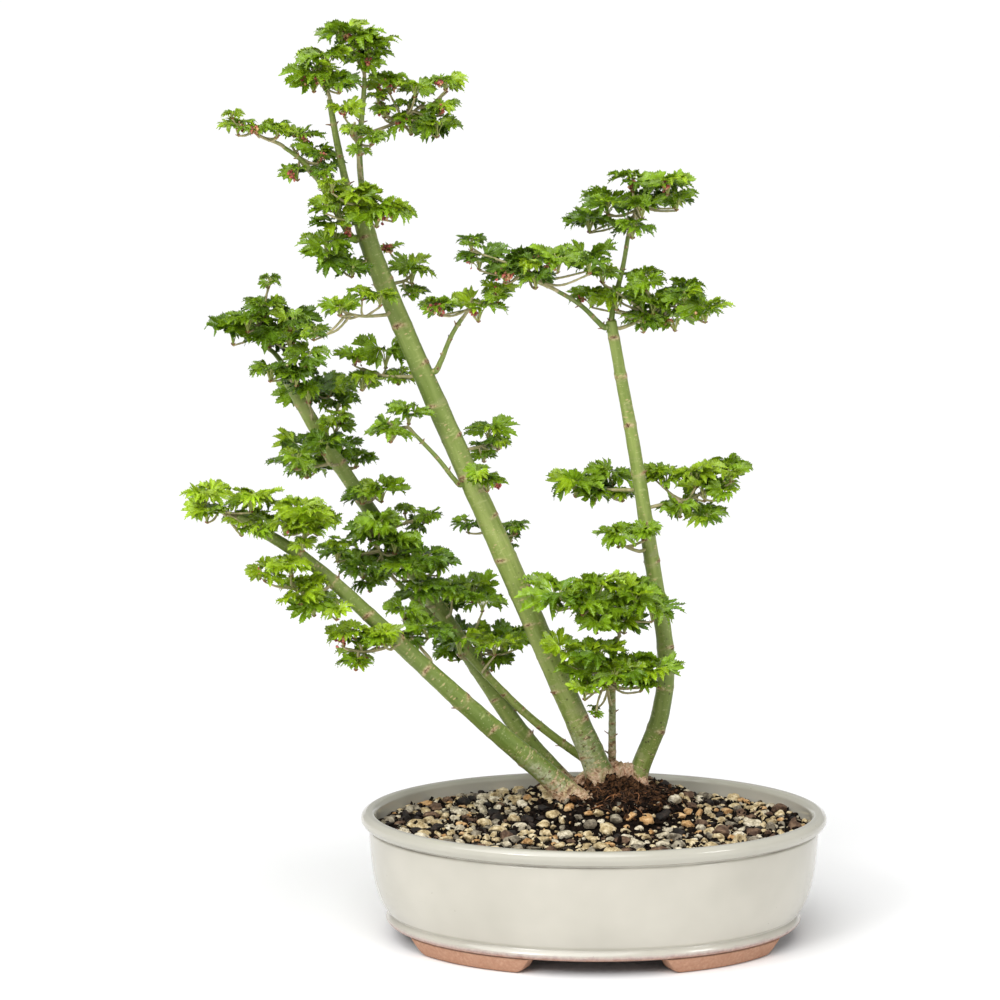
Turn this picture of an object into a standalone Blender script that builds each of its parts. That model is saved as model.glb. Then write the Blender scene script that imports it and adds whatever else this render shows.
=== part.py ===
"""Potted japanese maple bonsai: leaning stems with tiers of leaves, in an oval glazed pot on four feet.

Sizes are in millimetres and MM turns them into metres. +Z is up and the pot's front faces -Y. The plan is
laid out from the middle of the pot's foot plane. At the end everything is moved together, so that the
origin is the middle of the underside of the whole object's bounding box.
"""

import math
import random
from collections import namedtuple

import bmesh
import bpy
from mathutils import Matrix, Vector
from mathutils.bvhtree import BVHTree

MM = 0.001
GAP = 0.3
WELD = 0.000001
GOLDEN_ANGLE = math.pi * (3 - math.sqrt(5))
UP = Vector((0, 0, 1))

# Pot: half sizes are along X; the plan is an ellipse, POT_ASPECT as deep as it is long.
POT_ASPECT = 0.775
POT_STEPS = 36
RIM_RADIUS = 152.5
RIM_TOP = 83.3
RIM_INNER = 142.5
FOOT_HEIGHT = 10.0
WALL_TOP = 71.3
WALL_FOOT = 16.2
WALL_RADIUS = 147.3
WALL_THICKNESS = 6.0
FLOOR_TOP = 17.0
FLOOR_RADIUS = 118.0
INNER_WALL_HEIGHTS = (22, 36, WALL_TOP)
BAND_RADIUS = 136.2
DRAIN_RADIUS = 8.0
DRAIN_OFFSET = 62.0

# Feet: each is a block bent along the ellipse, wider at its top than on the ground.
FOOT_MIDDLE_DEG = 40.5
FOOT_SPAN_DEG = 39.0
FOOT_FLARE_DEG = 4.0
FOOT_OUTER_TOP = 134.0
FOOT_OUTER_BOTTOM = 130.0
FOOT_WIDTH = 15.0
FOOT_CUTS = 6

# Soil: level near the wall, with a low mound under the roots. Its gravel stands out as lumps, one cell of a
# grid apart, that leave the mound's flat top level where the stems are cut.
SOIL_EDGE = 74.0
SOIL_CLEARANCE = 0.5
SOIL_CELL = 12.0
SOIL_CELLS = (26, 21)
LUMP_LOW = -0.6
LUMP_HIGH = 2.7
LUMPS_FROM = 4.0
LUMPS_OVER = 8.0
MOUND_TOP = 88.0
MOUND_CENTRE = Vector((10, 36))
MOUND_FLAT_RADIUS = 42.0
MOUND_FALL = 20.0
SOIL_BLANK_TOP = 94.0
GROUND_BLOCK_TOP = 100.0

# Root flare of the main trunk.
FLARE = 6.0
FLARE_HEIGHT = 9.0
FLARE_LOBES = 5
FLARE_LOBE_DEPTH = 0.16

# A stem or shoot leaves its limb square to the bark for this long before it turns.
STAND_OFF = 4.0

# Stems and twigs of the masses. A stem runs on past its mass's middle and sags a little on its way.
SPINE_RADIUS = 1.8
SPINE_TIP_RADIUS = 1.35
SPINE_REACH = 0.3
SPINE_SAG = 0.12
SPINE_SAG_AT = 0.55
TWIG_RADIUS = 1.0
TWIG_TIP_RADIUS = 0.85
TWIG_AREA = 330.0
TWIG_HEIGHT = 0.65
TWIG_DEPTH = 0.5
TWIG_REACH_LEAST = 0.2
TWIGS_FROM = 0.45
TWIGS_OVER = 0.45

# Leaves: one outline for all, in shares of the leaf's length, with the root at x = 0.
LEAF_LENGTH = 38.0
LEAF_SHORTEST = 0.55
LEAF_THICKNESS = 0.04
LEAF_ROLL = 0.5
LEAF_ROOT = (-0.014, 0.0)
LEAF_HALF = ((0.2, 0.035), (0.33, 0.54), (0.62, 0.24))
LEAF_TIP = (1.0, 0.0)
LEAF_AREA = 68.0
LEAF_PER_SPACE = 0.62
LEAVES_AT_LEAST = 2
LEAF_TRIES = 1.8
LEAF_FREE = 0.13
ROOT_SPACING = 1.5
SPACE_MARGIN = 1.02
SPACE_POWER = 3.0
FLOWER_RADIUS = 3.2
FLOWER_DROP = 9.0

# A limb is a smooth route with a radius at each end. "joins" names its parent and the place along it,
# from 0 at the foot to 1 at the tip; with no parent it stands on the ground.
Limb = namedtuple("Limb", "name joins base tip route detail spacing")
LIMBS = (
    Limb("trunk_main", None, 8.4, 6.2, ((10, 36, 78), (6, 35, 98), (-31, 31, 184), (-60, 28, 251),
         (-118, 22, 383), (-143, 19, 444), (-151, 18, 472)), 4, 30),
    Limb("trunk_left", None, 5.9, 4.6, ((-8, 56, 78), (-28, 57, 101), (-51, 58, 128), (-104, 60, 209),
         (-155, 62, 283), (-188, 63, 335), (-205, 64, 368)), 2, 26),
    Limb("trunk_low", None, 8.0, 3.2, ((-3, 14, 79), (-22, 12, 97), (-71, 4, 141), (-123, -5, 191),
         (-182, -14, 248), (-229, -20, 279)), 2, 26),
    Limb("trunk_right", None, 6.6, 3.6, ((25, 47, 78), (37, 44, 114), (44, 42, 131), (49, 40, 162),
         (48, 38, 189), (41, 36, 230), (28, 32, 310), (17, 30, 369), (11, 28, 401)), 2, 28),
    Limb("stem_crossing", None, 3.2, 2.0, ((10, 64, 78), (5, 59, 98), (-11, 54, 110), (-48, 48, 141),
         (-98, 42, 195), (-129, 38, 228)), 1, 20),
    Limb("shoot_base", None, 2.9, 1.9, ((16, 60, 78), (14, 52, 100), (13, 28, 151), (12, 12, 184),
         (15, 6, 196)), 1, 18),
    Limb("fork_left", ("trunk_main", 1.0), 2.7, 1.9, ((-154, 16, 468), (-160, 14, 490), (-166, 10, 519),
         (-170, 6, 544)), 1, 14),
    Limb("fork_right", ("trunk_main", 1.0), 2.3, 1.5, ((-148, 21, 468), (-151, 21, 493), (-152, 24, 515),
         (-149, 31, 550), (-149, 33, 558)), 1, 14),
    Limb("arm_left", ("trunk_main", 0.965), 2.2, 1.3, ((-182, 10, 500), (-199, 6, 514)), 1, 12),
    Limb("bough_left", ("trunk_left", 1.0), 2.0, 1.5, ((-203, 64, 364), (-206, 63, 374), (-214, 58, 381)),
         1, 8),
    Limb("shoot_upper", ("trunk_main", 0.735), 1.9, 1.3, ((-94, 16, 392), (-86, 11, 404)), 1, 10),
    Limb("shoot_middle", ("trunk_main", 0.56), 1.7, 1.2, ((-98, 16, 309), (-118, 9, 331)), 1, 12),
    Limb("arm_right", ("trunk_right", 0.993), 1.8, 1.3, ((-6, 18, 411), (-24, 9, 422)), 1, 10),
    Limb("riser_right", ("trunk_right", 1.0), 2.0, 1.4, ((11, 28, 397), (12, 29, 412), (18, 33, 432),
         (22, 35, 456)), 1, 12),
)

# A mass of leaves fills a box-like ellipsoid round its centre and hangs on one limb by one stem.
Mass = namedtuple("Mass", "name limb at centre radii flowers")
MASSES = (
    Mass("leaves_top_left", "fork_left", 1.0, (-179, 6, 565), (21, 20, 17), 0),
    Mass("leaves_top_right", "fork_right", 1.0, (-155, 34, 579), (24, 22, 17), 0),
    Mass("leaves_fork_pad", "fork_right", 0.62, (-119, 40, 541), (34, 26, 24), 2),
    Mass("leaves_between_forks", "fork_right", 0.3, (-153, -4, 527), (19, 18, 18), 0),
    Mass("leaves_arm_tip", "arm_left", 1.0, (-218, -2, 527), (20, 18, 14), 0),
    Mass("leaves_arm_inner", "arm_left", 0.6, (-190, 12, 512), (22, 20, 20), 0),
    Mass("leaves_trunk_top", "trunk_main", 0.99, (-150, -8, 480), (35, 22, 13), 1),
    Mass("leaves_upper_left", "trunk_main", 0.93, (-172, 2, 450), (23, 22, 21), 0),
    Mass("leaves_upper_right", "trunk_main", 0.88, (-121, 40, 432), (20, 18, 19), 0),
    Mass("leaves_high_left", "trunk_main", 0.845, (-157, -10, 411), (32, 20, 19), 0),
    Mass("leaves_upper_shoot", "shoot_upper", 1.0, (-83, 6, 415), (36, 24, 16), 2),
    Mass("leaves_mid_left", "trunk_main", 0.74, (-145, 44, 369), (28, 20, 19), 1),
    Mass("leaves_middle_shoot", "shoot_middle", 1.0, (-128, 4, 337), (22, 20, 17), 1),
    Mass("leaves_mid_back", "trunk_main", 0.6, (-69, 54, 321), (19, 22, 15), 1),
    Mass("leaves_mid_front", "trunk_main", 0.54, (-71, 4, 302), (15, 14, 11), 0),
    Mass("leaves_behind_trunk", "trunk_main", 0.44, (-68, 56, 262), (28, 22, 12), 0),
    Mass("leaves_left_top", "bough_left", 1.0, (-218, 50, 402), (40, 30, 21), 0),
    Mass("leaves_left_front", "trunk_left", 0.97, (-200, 34, 372), (30, 24, 13), 0),
    Mass("leaves_left_back", "trunk_left", 0.92, (-185, 84, 353), (38, 26, 15), 0),
    Mass("leaves_left_small", "trunk_left", 0.84, (-170, 46, 331), (17, 16, 9), 0),
    Mass("leaves_left_middle", "trunk_left", 0.77, (-180, 84, 309), (40, 26, 15), 0),
    Mass("leaves_left_lower", "trunk_left", 0.7, (-144, 44, 288), (23, 20, 12), 0),
    Mass("leaves_left_right", "trunk_left", 0.63, (-116, 68, 269), (18, 16, 9), 0),
    Mass("leaves_low_tip", "trunk_low", 1.0, (-235, -20, 284), (30, 26, 19), 0),
    Mass("leaves_low_top", "trunk_low", 0.86, (-186, -30, 279), (26, 24, 19), 0),
    Mass("leaves_low_under", "trunk_low", 0.76, (-190, -26, 236), (33, 26, 22), 0),
    Mass("leaves_low_hanging", "trunk_low", 0.58, (-152, -18, 194), (26, 20, 18), 1),
    Mass("leaves_dense_middle", "stem_crossing", 1.0, (-136, 36, 250), (45, 26, 27), 0),
    Mass("leaves_centre_back", "trunk_left", 0.44, (-90, 84, 213), (35, 24, 17), 0),
    Mass("leaves_centre_left", "trunk_low", 0.48, (-120, 14, 203), (26, 18, 17), 0),
    Mass("leaves_centre_low", "trunk_left", 0.32, (-75, 82, 180), (37, 24, 22), 0),
    Mass("leaves_base_upper", "shoot_base", 1.0, (5, 0, 224), (52, 26, 23), 0),
    Mass("leaves_base_lower", "shoot_base", 0.62, (8, -6, 180), (49, 26, 22), 1),
    Mass("leaves_right_crown", "riser_right", 1.0, (25, 36, 477), (44, 34, 23), 0),
    Mass("leaves_right_arm", "arm_right", 1.0, (-43, 0, 439), (45, 28, 22), 1),
    Mass("leaves_right_top", "trunk_right", 0.985, (38, 30, 415), (53, 34, 24), 0),
    Mass("leaves_right_left", "trunk_right", 0.66, (-2, 56, 291), (34, 24, 15), 0),
    Mass("leaves_right_outer", "trunk_right", 0.62, (71, 50, 289), (34, 26, 26), 0),
    Mass("leaves_right_small", "trunk_right", 0.54, (20, 22, 259), (24, 18, 14), 0),
)

GLAZE = ("glaze", (0.72, 0.70, 0.62), 0.18)
TERRACOTTA = ("terracotta", (0.62, 0.36, 0.25), 0.85)
SOIL = ("soil", (0.10, 0.07, 0.05), 0.95)
BARK = ("bark", (0.25, 0.35, 0.09), 0.6)
LEAF = ("leaf", (0.12, 0.32, 0.04), 0.55)


def clear_scene():
    for thing in list(bpy.data.objects):
        bpy.data.objects.remove(thing)


def new_collection(name):
    collection = bpy.data.collections.new(name)
    bpy.context.scene.collection.children.link(collection)
    return collection


def material(name, colour, roughness):
    made = bpy.data.materials.get(name)
    if made is None:
        made = bpy.data.materials.new(name)
        made.use_nodes = True
        shader = made.node_tree.nodes["Principled BSDF"]
        shader.inputs["Base Color"].default_value = (*colour, 1)
        shader.inputs["Roughness"].default_value = roughness
        shader.inputs["Metallic"].default_value = 0.0
    return made


def add_mesh(name, mesh, collection, finish=None):
    thing = bpy.data.objects.new(name, mesh)
    if finish:
        mesh.materials.clear()
        mesh.materials.append(material(*finish))
    collection.objects.link(thing)
    return thing


def add_bmesh(name, bm, collection, finish=None):
    mesh = bpy.data.meshes.new(name)
    bm.to_mesh(mesh)
    bm.free()
    return add_mesh(name, mesh, collection, finish)


def evaluated_mesh(thing):
    """A new mesh of the object with its modifiers, or its curve's bevel, taken in and the caps welded."""
    graph = bpy.context.evaluated_depsgraph_get()
    mesh = bpy.data.meshes.new_from_object(thing.evaluated_get(graph))
    bm = bmesh.new()
    bm.from_mesh(mesh)
    bmesh.ops.remove_doubles(bm, verts=bm.verts, dist=WELD)
    bm.to_mesh(mesh)
    bm.free()
    return mesh


def smooth(mesh, degrees):
    mesh.shade_smooth()
    mesh.set_sharp_from_angle(angle=math.radians(degrees))


# Pot


def wall_radius(z):
    """Half length of the pot's outer wall at height z: nearly upright, turned in quickly at its foot."""
    depth = (WALL_TOP - z) / (WALL_TOP - WALL_FOOT)
    return WALL_RADIUS - 4 * depth - 9 * depth**4


def wall_heights(count):
    return [WALL_TOP + (WALL_FOOT + 0.8 - WALL_TOP) * math.sin(0.5 * math.pi * i / (count - 1))
            for i in range(count)]


def turned(name, profile, collection, finish):
    """A profile of (radius, height) points turned round Z, then pressed into the pot's oval."""
    bm = bmesh.new()
    points = [bm.verts.new((radius * MM, 0, z * MM)) for radius, z in profile]
    for first, second in zip(points, points[1:]):
        bm.edges.new((first, second))
    guide = add_bmesh(name + "_profile", bm, collection)
    screw = guide.modifiers.new("Turn", "SCREW")
    screw.steps = POT_STEPS
    screw.render_steps = POT_STEPS
    screw.use_merge_vertices = True
    screw.merge_threshold = WELD
    mesh = evaluated_mesh(guide)
    bpy.data.objects.remove(guide)
    mesh.transform(Matrix.Diagonal((1, POT_ASPECT, 1, 1)))
    return add_mesh(name, mesh, collection, finish)


def make_pot(collection, cutters):
    bottom = FOOT_HEIGHT + GAP
    inner = [(wall_radius(z) - WALL_THICKNESS, z) for z in INNER_WALL_HEIGHTS]
    rim = [
        (RIM_INNER, RIM_TOP - 0.9),
        (RIM_INNER + 1.8, RIM_TOP),
        (RIM_RADIUS - 4.0, RIM_TOP),
        (RIM_RADIUS - 1.0, RIM_TOP - 1.6),
        (RIM_RADIUS, RIM_TOP - 4.2),
        (RIM_RADIUS - 1.2, RIM_TOP - 7.5),
        (WALL_RADIUS - 0.8, RIM_TOP - 10.2),
    ]
    wall = [(wall_radius(z), z) for z in wall_heights(6)]
    band = [
        (BAND_RADIUS - 3.2, WALL_FOOT),
        (BAND_RADIUS - 0.4, WALL_FOOT - 1.2),
        (BAND_RADIUS, WALL_FOOT - 3.2),
        (BAND_RADIUS - 1.8, bottom),
    ]
    floor = [(0, FLOOR_TOP), (FLOOR_RADIUS, FLOOR_TOP)]
    pot = turned("pot", floor + inner + rim + wall + band + [(0, bottom)], collection, GLAZE)
    smooth(pot.data, 40)
    for side in (-1, 1):
        bm = bmesh.new()
        bmesh.ops.create_cone(bm, cap_ends=True, segments=16, radius1=DRAIN_RADIUS * MM,
                              radius2=DRAIN_RADIUS * MM, depth=4 * (FLOOR_TOP - bottom) * MM)
        drill = add_bmesh("drain_cutter", bm, cutters)
        drill.location = (side * DRAIN_OFFSET * MM, 0, 0.5 * (FLOOR_TOP + bottom) * MM)
        drill.hide_render = True
        drill.display_type = "WIRE"
        cut = pot.modifiers.new("Drain hole", "BOOLEAN")
        cut.operation = "DIFFERENCE"
        cut.object = drill


def make_foot(name, middle_deg, collection):
    """A box cut across, then bent round the pot's oval; its top reaches further out and to both ends."""
    bm = bmesh.new()
    bmesh.ops.create_cube(bm, size=2)
    for cut in range(1, FOOT_CUTS):
        place = Vector((2 * cut / FOOT_CUTS - 1, 0, 0))
        geometry = bm.verts[:] + bm.edges[:] + bm.faces[:]
        bmesh.ops.bisect_plane(bm, geom=geometry, plane_co=place, plane_no=(1, 0, 0))
    for vertex in bm.verts:
        along, across, up = vertex.co
        rise = 0.5 * (up + 1)
        angle = math.radians(middle_deg + 0.5 * along * (FOOT_SPAN_DEG + FOOT_FLARE_DEG * rise))
        outer = FOOT_OUTER_BOTTOM + (FOOT_OUTER_TOP - FOOT_OUTER_BOTTOM) * rise
        radius = outer - FOOT_WIDTH * 0.5 * (1 - across)
        vertex.co = Vector((radius * math.sin(angle), radius * POT_ASPECT * math.cos(angle),
                            FOOT_HEIGHT * rise)) * MM
    add_bmesh(name, bm, collection, TERRACOTTA)


def make_feet(collection):
    middles = (180 - FOOT_MIDDLE_DEG, 180 + FOOT_MIDDLE_DEG, FOOT_MIDDLE_DEG, -FOOT_MIDDLE_DEG)
    names = ("front_right", "front_left", "back_right", "back_left")
    for name, middle_deg in zip(names, middles):
        make_foot("foot_" + name, middle_deg, collection)


def ground_height(x, y):
    away = max(0.0, (Vector((x, y)) - MOUND_CENTRE).length - MOUND_FLAT_RADIUS)
    return SOIL_EDGE + (MOUND_TOP - SOIL_EDGE) * math.exp(-((away / MOUND_FALL) ** 2))


def make_ground(cutters):
    """The block of air over the soil: a grid raised to the mound with its lumps, and closed above."""
    bm = bmesh.new()
    across, deep = SOIL_CELLS
    shape = Matrix.Diagonal((0.5 * across * SOIL_CELL * MM, 0.5 * deep * SOIL_CELL * MM, 1, 1))
    bmesh.ops.create_grid(bm, x_segments=across, y_segments=deep, size=1, matrix=shape)
    surface = bm.verts[:]
    closed = bmesh.ops.extrude_face_region(bm, geom=bm.faces[:], use_keep_orig=True)
    for made in closed["geom"]:
        if isinstance(made, bmesh.types.BMVert):
            made.co.z = GROUND_BLOCK_TOP * MM
    dice = random.Random("gravel")
    for vertex in surface:
        x, y = vertex.co.x / MM, vertex.co.y / MM
        away = (Vector((x, y)) - MOUND_CENTRE).length - MOUND_FLAT_RADIUS
        share = min(1.0, max(0.0, (away - LUMPS_FROM) / LUMPS_OVER))
        vertex.co.z = (ground_height(x, y) + share * dice.uniform(LUMP_LOW, LUMP_HIGH)) * MM
    bmesh.ops.triangulate(bm, faces=bm.faces[:])
    bmesh.ops.recalc_face_normals(bm, faces=bm.faces[:])
    block = add_bmesh("ground_cutter", bm, cutters)
    block.hide_render = True
    block.display_type = "WIRE"
    return block


def make_soil(collection, cutters):
    """The soil fills the pot's inside; its top is cut by the lumpy ground."""
    edge = wall_radius(SOIL_EDGE) - WALL_THICKNESS - SOIL_CLEARANCE
    top = [(0, SOIL_BLANK_TOP), (edge, SOIL_BLANK_TOP)]
    side = [(wall_radius(z) - WALL_THICKNESS - SOIL_CLEARANCE, z) for z in reversed(INNER_WALL_HEIGHTS)]
    base = FLOOR_TOP + GAP
    foot = [(FLOOR_RADIUS - SOIL_CLEARANCE, base), (0, base)]
    soil = turned("soil", top + side + foot, collection, SOIL)
    cut = soil.modifiers.new("Ground", "BOOLEAN")
    cut.operation = "DIFFERENCE"
    cut.object = make_ground(cutters)
    smooth(soil.data, 40)


# Limbs


def smooth_route(points, spacing):
    """Points about `spacing` apart on a smooth curve that passes through the given ones."""
    knots = [Vector(point) for point in points]
    ends = [2 * knots[0] - knots[1]] + knots + [2 * knots[-1] - knots[-2]]
    route = []
    for before, first, second, after in zip(ends, ends[1:], ends[2:], ends[3:]):
        steps = max(1, round((second - first).length / spacing))
        for step in range(steps):
            t = step / steps
            bend = 2 * before - 5 * first + 4 * second - after
            turn = 3 * first - before - 3 * second + after
            route.append(0.5 * (2 * first + (second - before) * t + bend * t**2 + turn * t**3))
    return route + [knots[-1]]


def route_shares(route):
    """How far along the route each of its points lies, from 0 to 1."""
    reached = [0.0]
    for first, second in zip(route, route[1:]):
        reached.append(reached[-1] + (second - first).length)
    return [length / reached[-1] for length in reached]


def place_along(route, share):
    """(point, direction) at a share of the route's length."""
    shares = route_shares(route)
    for i in range(len(route) - 1):
        if share <= shares[i + 1] or i == len(route) - 2:
            t = (share - shares[i]) / (shares[i + 1] - shares[i])
            return route[i].lerp(route[i + 1], t), (route[i + 1] - route[i]).normalized()
    raise ValueError(share)


def side_start(limb, share, towards):
    """(point, direction) on a limb's side, just clear of its bark and facing a far point."""
    middle, along = place_along(limb.route, share)
    out = towards - middle
    out = (out - along * out.dot(along)).normalized()
    radius = limb.base + (limb.tip - limb.base) * share
    return middle + out * (radius + GAP), out


def tip_start(limb):
    point, along = place_along(limb.route, 1.0)
    return point + along * GAP, along


def tube(name, route, radii, detail, collection, finish=None):
    """A tapering tube: a poly curve with a round bevel and filled caps, made a mesh."""
    curve = bpy.data.curves.new(name, "CURVE")
    curve.dimensions = "3D"
    curve.bevel_depth = MM
    curve.bevel_resolution = detail
    curve.use_fill_caps = True
    spline = curve.splines.new("POLY")
    spline.points.add(len(route) - 1)
    for point, place, radius in zip(spline.points, route, radii):
        point.co = (*(place * MM), 1)
        point.radius = radius
    guide = bpy.data.objects.new(name + "_curve", curve)
    collection.objects.link(guide)
    mesh = evaluated_mesh(guide)
    bpy.data.objects.remove(guide)
    return add_mesh(name, mesh, collection, finish)


def cut_flat(thing, place, keep):
    """Cuts the mesh by the plane at `place` and closes it there, keeping the side that `keep` points to."""
    bm = bmesh.new()
    bm.from_mesh(thing.data)
    geometry = bm.verts[:] + bm.edges[:] + bm.faces[:]
    bmesh.ops.bisect_plane(bm, geom=geometry, plane_co=place * MM, plane_no=keep, clear_inner=True)
    bmesh.ops.holes_fill(bm, edges=[edge for edge in bm.edges if edge.is_boundary])
    bm.to_mesh(thing.data)
    bm.free()


def flare_roots(thing, route):
    """Spreads the trunk's foot into low root lobes."""
    for vertex in thing.data.vertices:
        height = vertex.co.z / MM - MOUND_TOP
        nearest = min(route, key=lambda point: abs(point.z - vertex.co.z / MM))
        out = vertex.co / MM - nearest
        out.z = 0
        angle = math.atan2(out.y, out.x)
        spread = math.exp(-max(0.0, height) / FLARE_HEIGHT)
        lobe = 1 + FLARE_LOBE_DEPTH * math.cos(FLARE_LOBES * angle)
        vertex.co += out.normalized() * FLARE * lobe * spread * MM


def make_limb(limb, parents, collection):
    """Makes one limb and returns it with its full, evenly sampled route."""
    route = [Vector(point) for point in limb.route]
    on_tip = limb.joins and limb.joins[1] == 1.0
    if limb.joins and not on_tip:
        start, out = side_start(parents[limb.joins[0]], limb.joins[1], route[0])
        route = [start, start + STAND_OFF * out] + route
    route = smooth_route(route, limb.spacing)
    radii = [limb.base + (limb.tip - limb.base) * share for share in route_shares(route)]
    thing = tube(limb.name, route, radii, limb.detail, collection, BARK)
    if limb.name == "trunk_main":
        flare_roots(thing, route)
    if limb.joins is None:
        cut_flat(thing, Vector((0, 0, MOUND_TOP + GAP)), UP)
    elif on_tip:
        point, along = place_along(parents[limb.joins[0]].route, 1.0)
        cut_flat(thing, point + along * GAP, along)
    smooth(thing.data, 50)
    return limb._replace(route=route)


# Masses of leaves

Spine = namedtuple("Spine", "route radii")
Twig = namedtuple("Twig", "start end")
Leaf = namedtuple("Leaf", "root along normal length")


def scaled(vector, sizes):
    return Vector(a * b for a, b in zip(vector, sizes))


def fullness(share):
    """1 on the surface of a box-like ellipsoid of unit half sizes, and less inside it."""
    return sum(abs(side)**SPACE_POWER for side in share)**(1 / SPACE_POWER)


def inside(point, mass):
    share = scaled(point - Vector(mass.centre), [1 / size for size in mass.radii])
    return fullness(share) <= SPACE_MARGIN


def even_directions(count, turn, height):
    """Directions spread evenly over a sphere between the given heights by the golden angle."""
    for i in range(count):
        z = height * (1 - 2 * (i + 0.5) / count)
        angle = turn + i * GOLDEN_ANGLE
        level = math.sqrt(1 - z * z)
        yield Vector((level * math.cos(angle), level * math.sin(angle), z))


def leaf_count(mass):
    """How many leaves a mass carries, from its size as seen from the front."""
    return LEAVES_AT_LEAST + mass.radii[0] * mass.radii[2] / LEAF_AREA


def leaf_size(mass):
    """The full length of the mass's leaves, shorter in a small mass."""
    return min(LEAF_LENGTH, LEAF_PER_SPACE * (mass.radii[0] + mass.radii[1]))


def plan_spine(mass, start, out):
    """The mass's own stem: out from its limb, then through the middle of the mass."""
    centre = Vector(mass.centre)
    through = centre - start
    through.z *= 0.5
    through = through.normalized() if through.length > 1 else out
    end = centre + scaled(through, mass.radii) * SPINE_REACH
    first = start + out * STAND_OFF
    low = first.lerp(end, SPINE_SAG_AT) - UP * SPINE_SAG * mass.radii[2]
    route = [start, first, low, end]
    radii = [SPINE_RADIUS + (SPINE_TIP_RADIUS - SPINE_RADIUS) * share for share in (0, 0.2, 0.6, 1)]
    return Spine(route, radii)


def plan_twigs(mass, spine, dice):
    """Twigs from the stem to points spread through the mass, and the stem's own end."""
    count = max(1, round(mass.radii[0] * mass.radii[2] / TWIG_AREA))
    reach = [max(TWIG_REACH_LEAST, 1 - 0.85 * leaf_size(mass) / size) for size in mass.radii]
    reach[2] = TWIG_DEPTH
    ends = []
    for direction in even_directions(count, dice.uniform(0, 2 * math.pi), TWIG_HEIGHT):
        ends.append(Vector(mass.centre) + scaled(scaled(direction, mass.radii), reach))
    through = spine.route[-1] - spine.route[0]
    ends.sort(key=lambda end: (end - spine.route[0]).dot(through))
    for i, end in enumerate(ends):
        start, _ = place_along(spine.route, TWIGS_FROM + TWIGS_OVER * i / count)
        yield Twig(start, end)
    yield Twig(spine.route[-2], spine.route[-1])


def plan_leaf(mass, root, target, dice):
    """A leaf that points to its target, flat side up, no longer than its size and in the mass; or None."""
    size = leaf_size(mass) * dice.uniform(0.9, 1.0)
    reach = target - root
    level = Vector((reach.x, reach.y, 0))
    shortest = 0.75 * size
    if reach.length < shortest and abs(reach.z) < shortest and level.length > 0:
        reach = level.normalized() * math.sqrt(shortest**2 - reach.z**2) + UP * reach.z
    way = reach.normalized()
    flat = way.cross(UP).cross(way).normalized()
    normal = Matrix.Rotation(dice.uniform(-LEAF_ROLL, LEAF_ROLL), 3, way) @ flat
    length = min(size, reach.length)
    while length > LEAF_SHORTEST * size and not inside(root + way * length, mass):
        length *= 0.94
    if length <= LEAF_SHORTEST * size:
        return None
    return Leaf(root, way, normal, length)


def plan_leaves(mass, twigs, count, dice):
    """(twig number, leaf) pairs: their tips are spread over the mass, each rooted on its nearest twig."""
    on_twig = [0] * len(twigs)
    for i, direction in enumerate(even_directions(count, dice.uniform(0, 2 * math.pi), 1.0)):
        depth = (0.8 if i % 4 == 3 else 1.0) / fullness(direction)
        target = Vector(mass.centre) + scaled(direction, mass.radii) * depth
        number = min(range(len(twigs)), key=lambda n: (twigs[n].end - target).length + 2.0 * on_twig[n])
        twig = twigs[number]
        back = (twig.start - twig.end).normalized()
        root = twig.end + back * (0.6 + ROOT_SPACING * on_twig[number])
        on_twig[number] += 1
        leaf = plan_leaf(mass, root, target, dice)
        if leaf:
            yield number, leaf


def plan_mass(mass, start, out):
    """(stem, twigs, leaves) of a mass, by a rule seeded with the mass's name."""
    dice = random.Random(mass.name)
    spine = plan_spine(mass, start, out)
    twigs = list(plan_twigs(mass, spine, dice))
    count = round(LEAF_TRIES * leaf_count(mass))
    leaves = list(plan_leaves(mass, twigs, count, dice))
    dice.shuffle(leaves)
    return spine, twigs, leaves


def leaf_mesh():
    """A three-lobed outline, flat below and raised to a low point above: thin at the rim, thick inside."""
    right = [(x, -y) for x, y in reversed(LEAF_HALF)]
    bm = bmesh.new()
    rim = [bm.verts.new((x, y, 0)) for x, y in (LEAF_ROOT, *LEAF_HALF, LEAF_TIP, *right)]
    top = bm.faces.new(list(reversed(rim)))
    top.normal_update()
    bmesh.ops.poke(bm, faces=[top], offset=LEAF_THICKNESS)
    bm.faces.new(rim)
    bmesh.ops.recalc_face_normals(bm, faces=bm.faces)
    mesh = bpy.data.meshes.new("leaf")
    bm.to_mesh(mesh)
    bm.free()
    return mesh


def leaf_matrix(leaf):
    across = leaf.normal.cross(leaf.along).normalized()
    axes = Matrix((leaf.along, across, leaf.along.cross(across))).transposed().to_4x4()
    return Matrix.Translation(leaf.root * MM) @ axes @ Matrix.Scale(leaf.length * MM, 4)


def twig_mesh(start, end, radius, tip_radius):
    """A three-sided tapering twig that starts a little inside what it grows from."""
    bm = bmesh.new()
    length = (end - start).length
    bmesh.ops.create_cone(bm, cap_ends=True, segments=3, radius1=radius * MM, radius2=tip_radius * MM,
                          depth=length * MM)
    turn = (end - start).to_track_quat("Z", "Y").to_matrix().to_4x4()
    bm.transform(Matrix.Translation((start + end) * 0.5 * MM) @ turn)
    mesh = bpy.data.meshes.new("twig")
    bm.to_mesh(mesh)
    bm.free()
    return mesh


def flower_mesh(place):
    """A small drooping flower cluster: a slightly long ball on a stalk."""
    ball = bmesh.new()
    centre = place - UP * FLOWER_DROP
    shape = Matrix.Translation(centre * MM) @ Matrix.Diagonal((1, 1, 1.3, 1))
    bmesh.ops.create_icosphere(ball, subdivisions=1, radius=FLOWER_RADIUS * MM, matrix=shape)
    mesh = bpy.data.meshes.new("flower")
    ball.to_mesh(mesh)
    ball.free()
    return mesh


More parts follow.
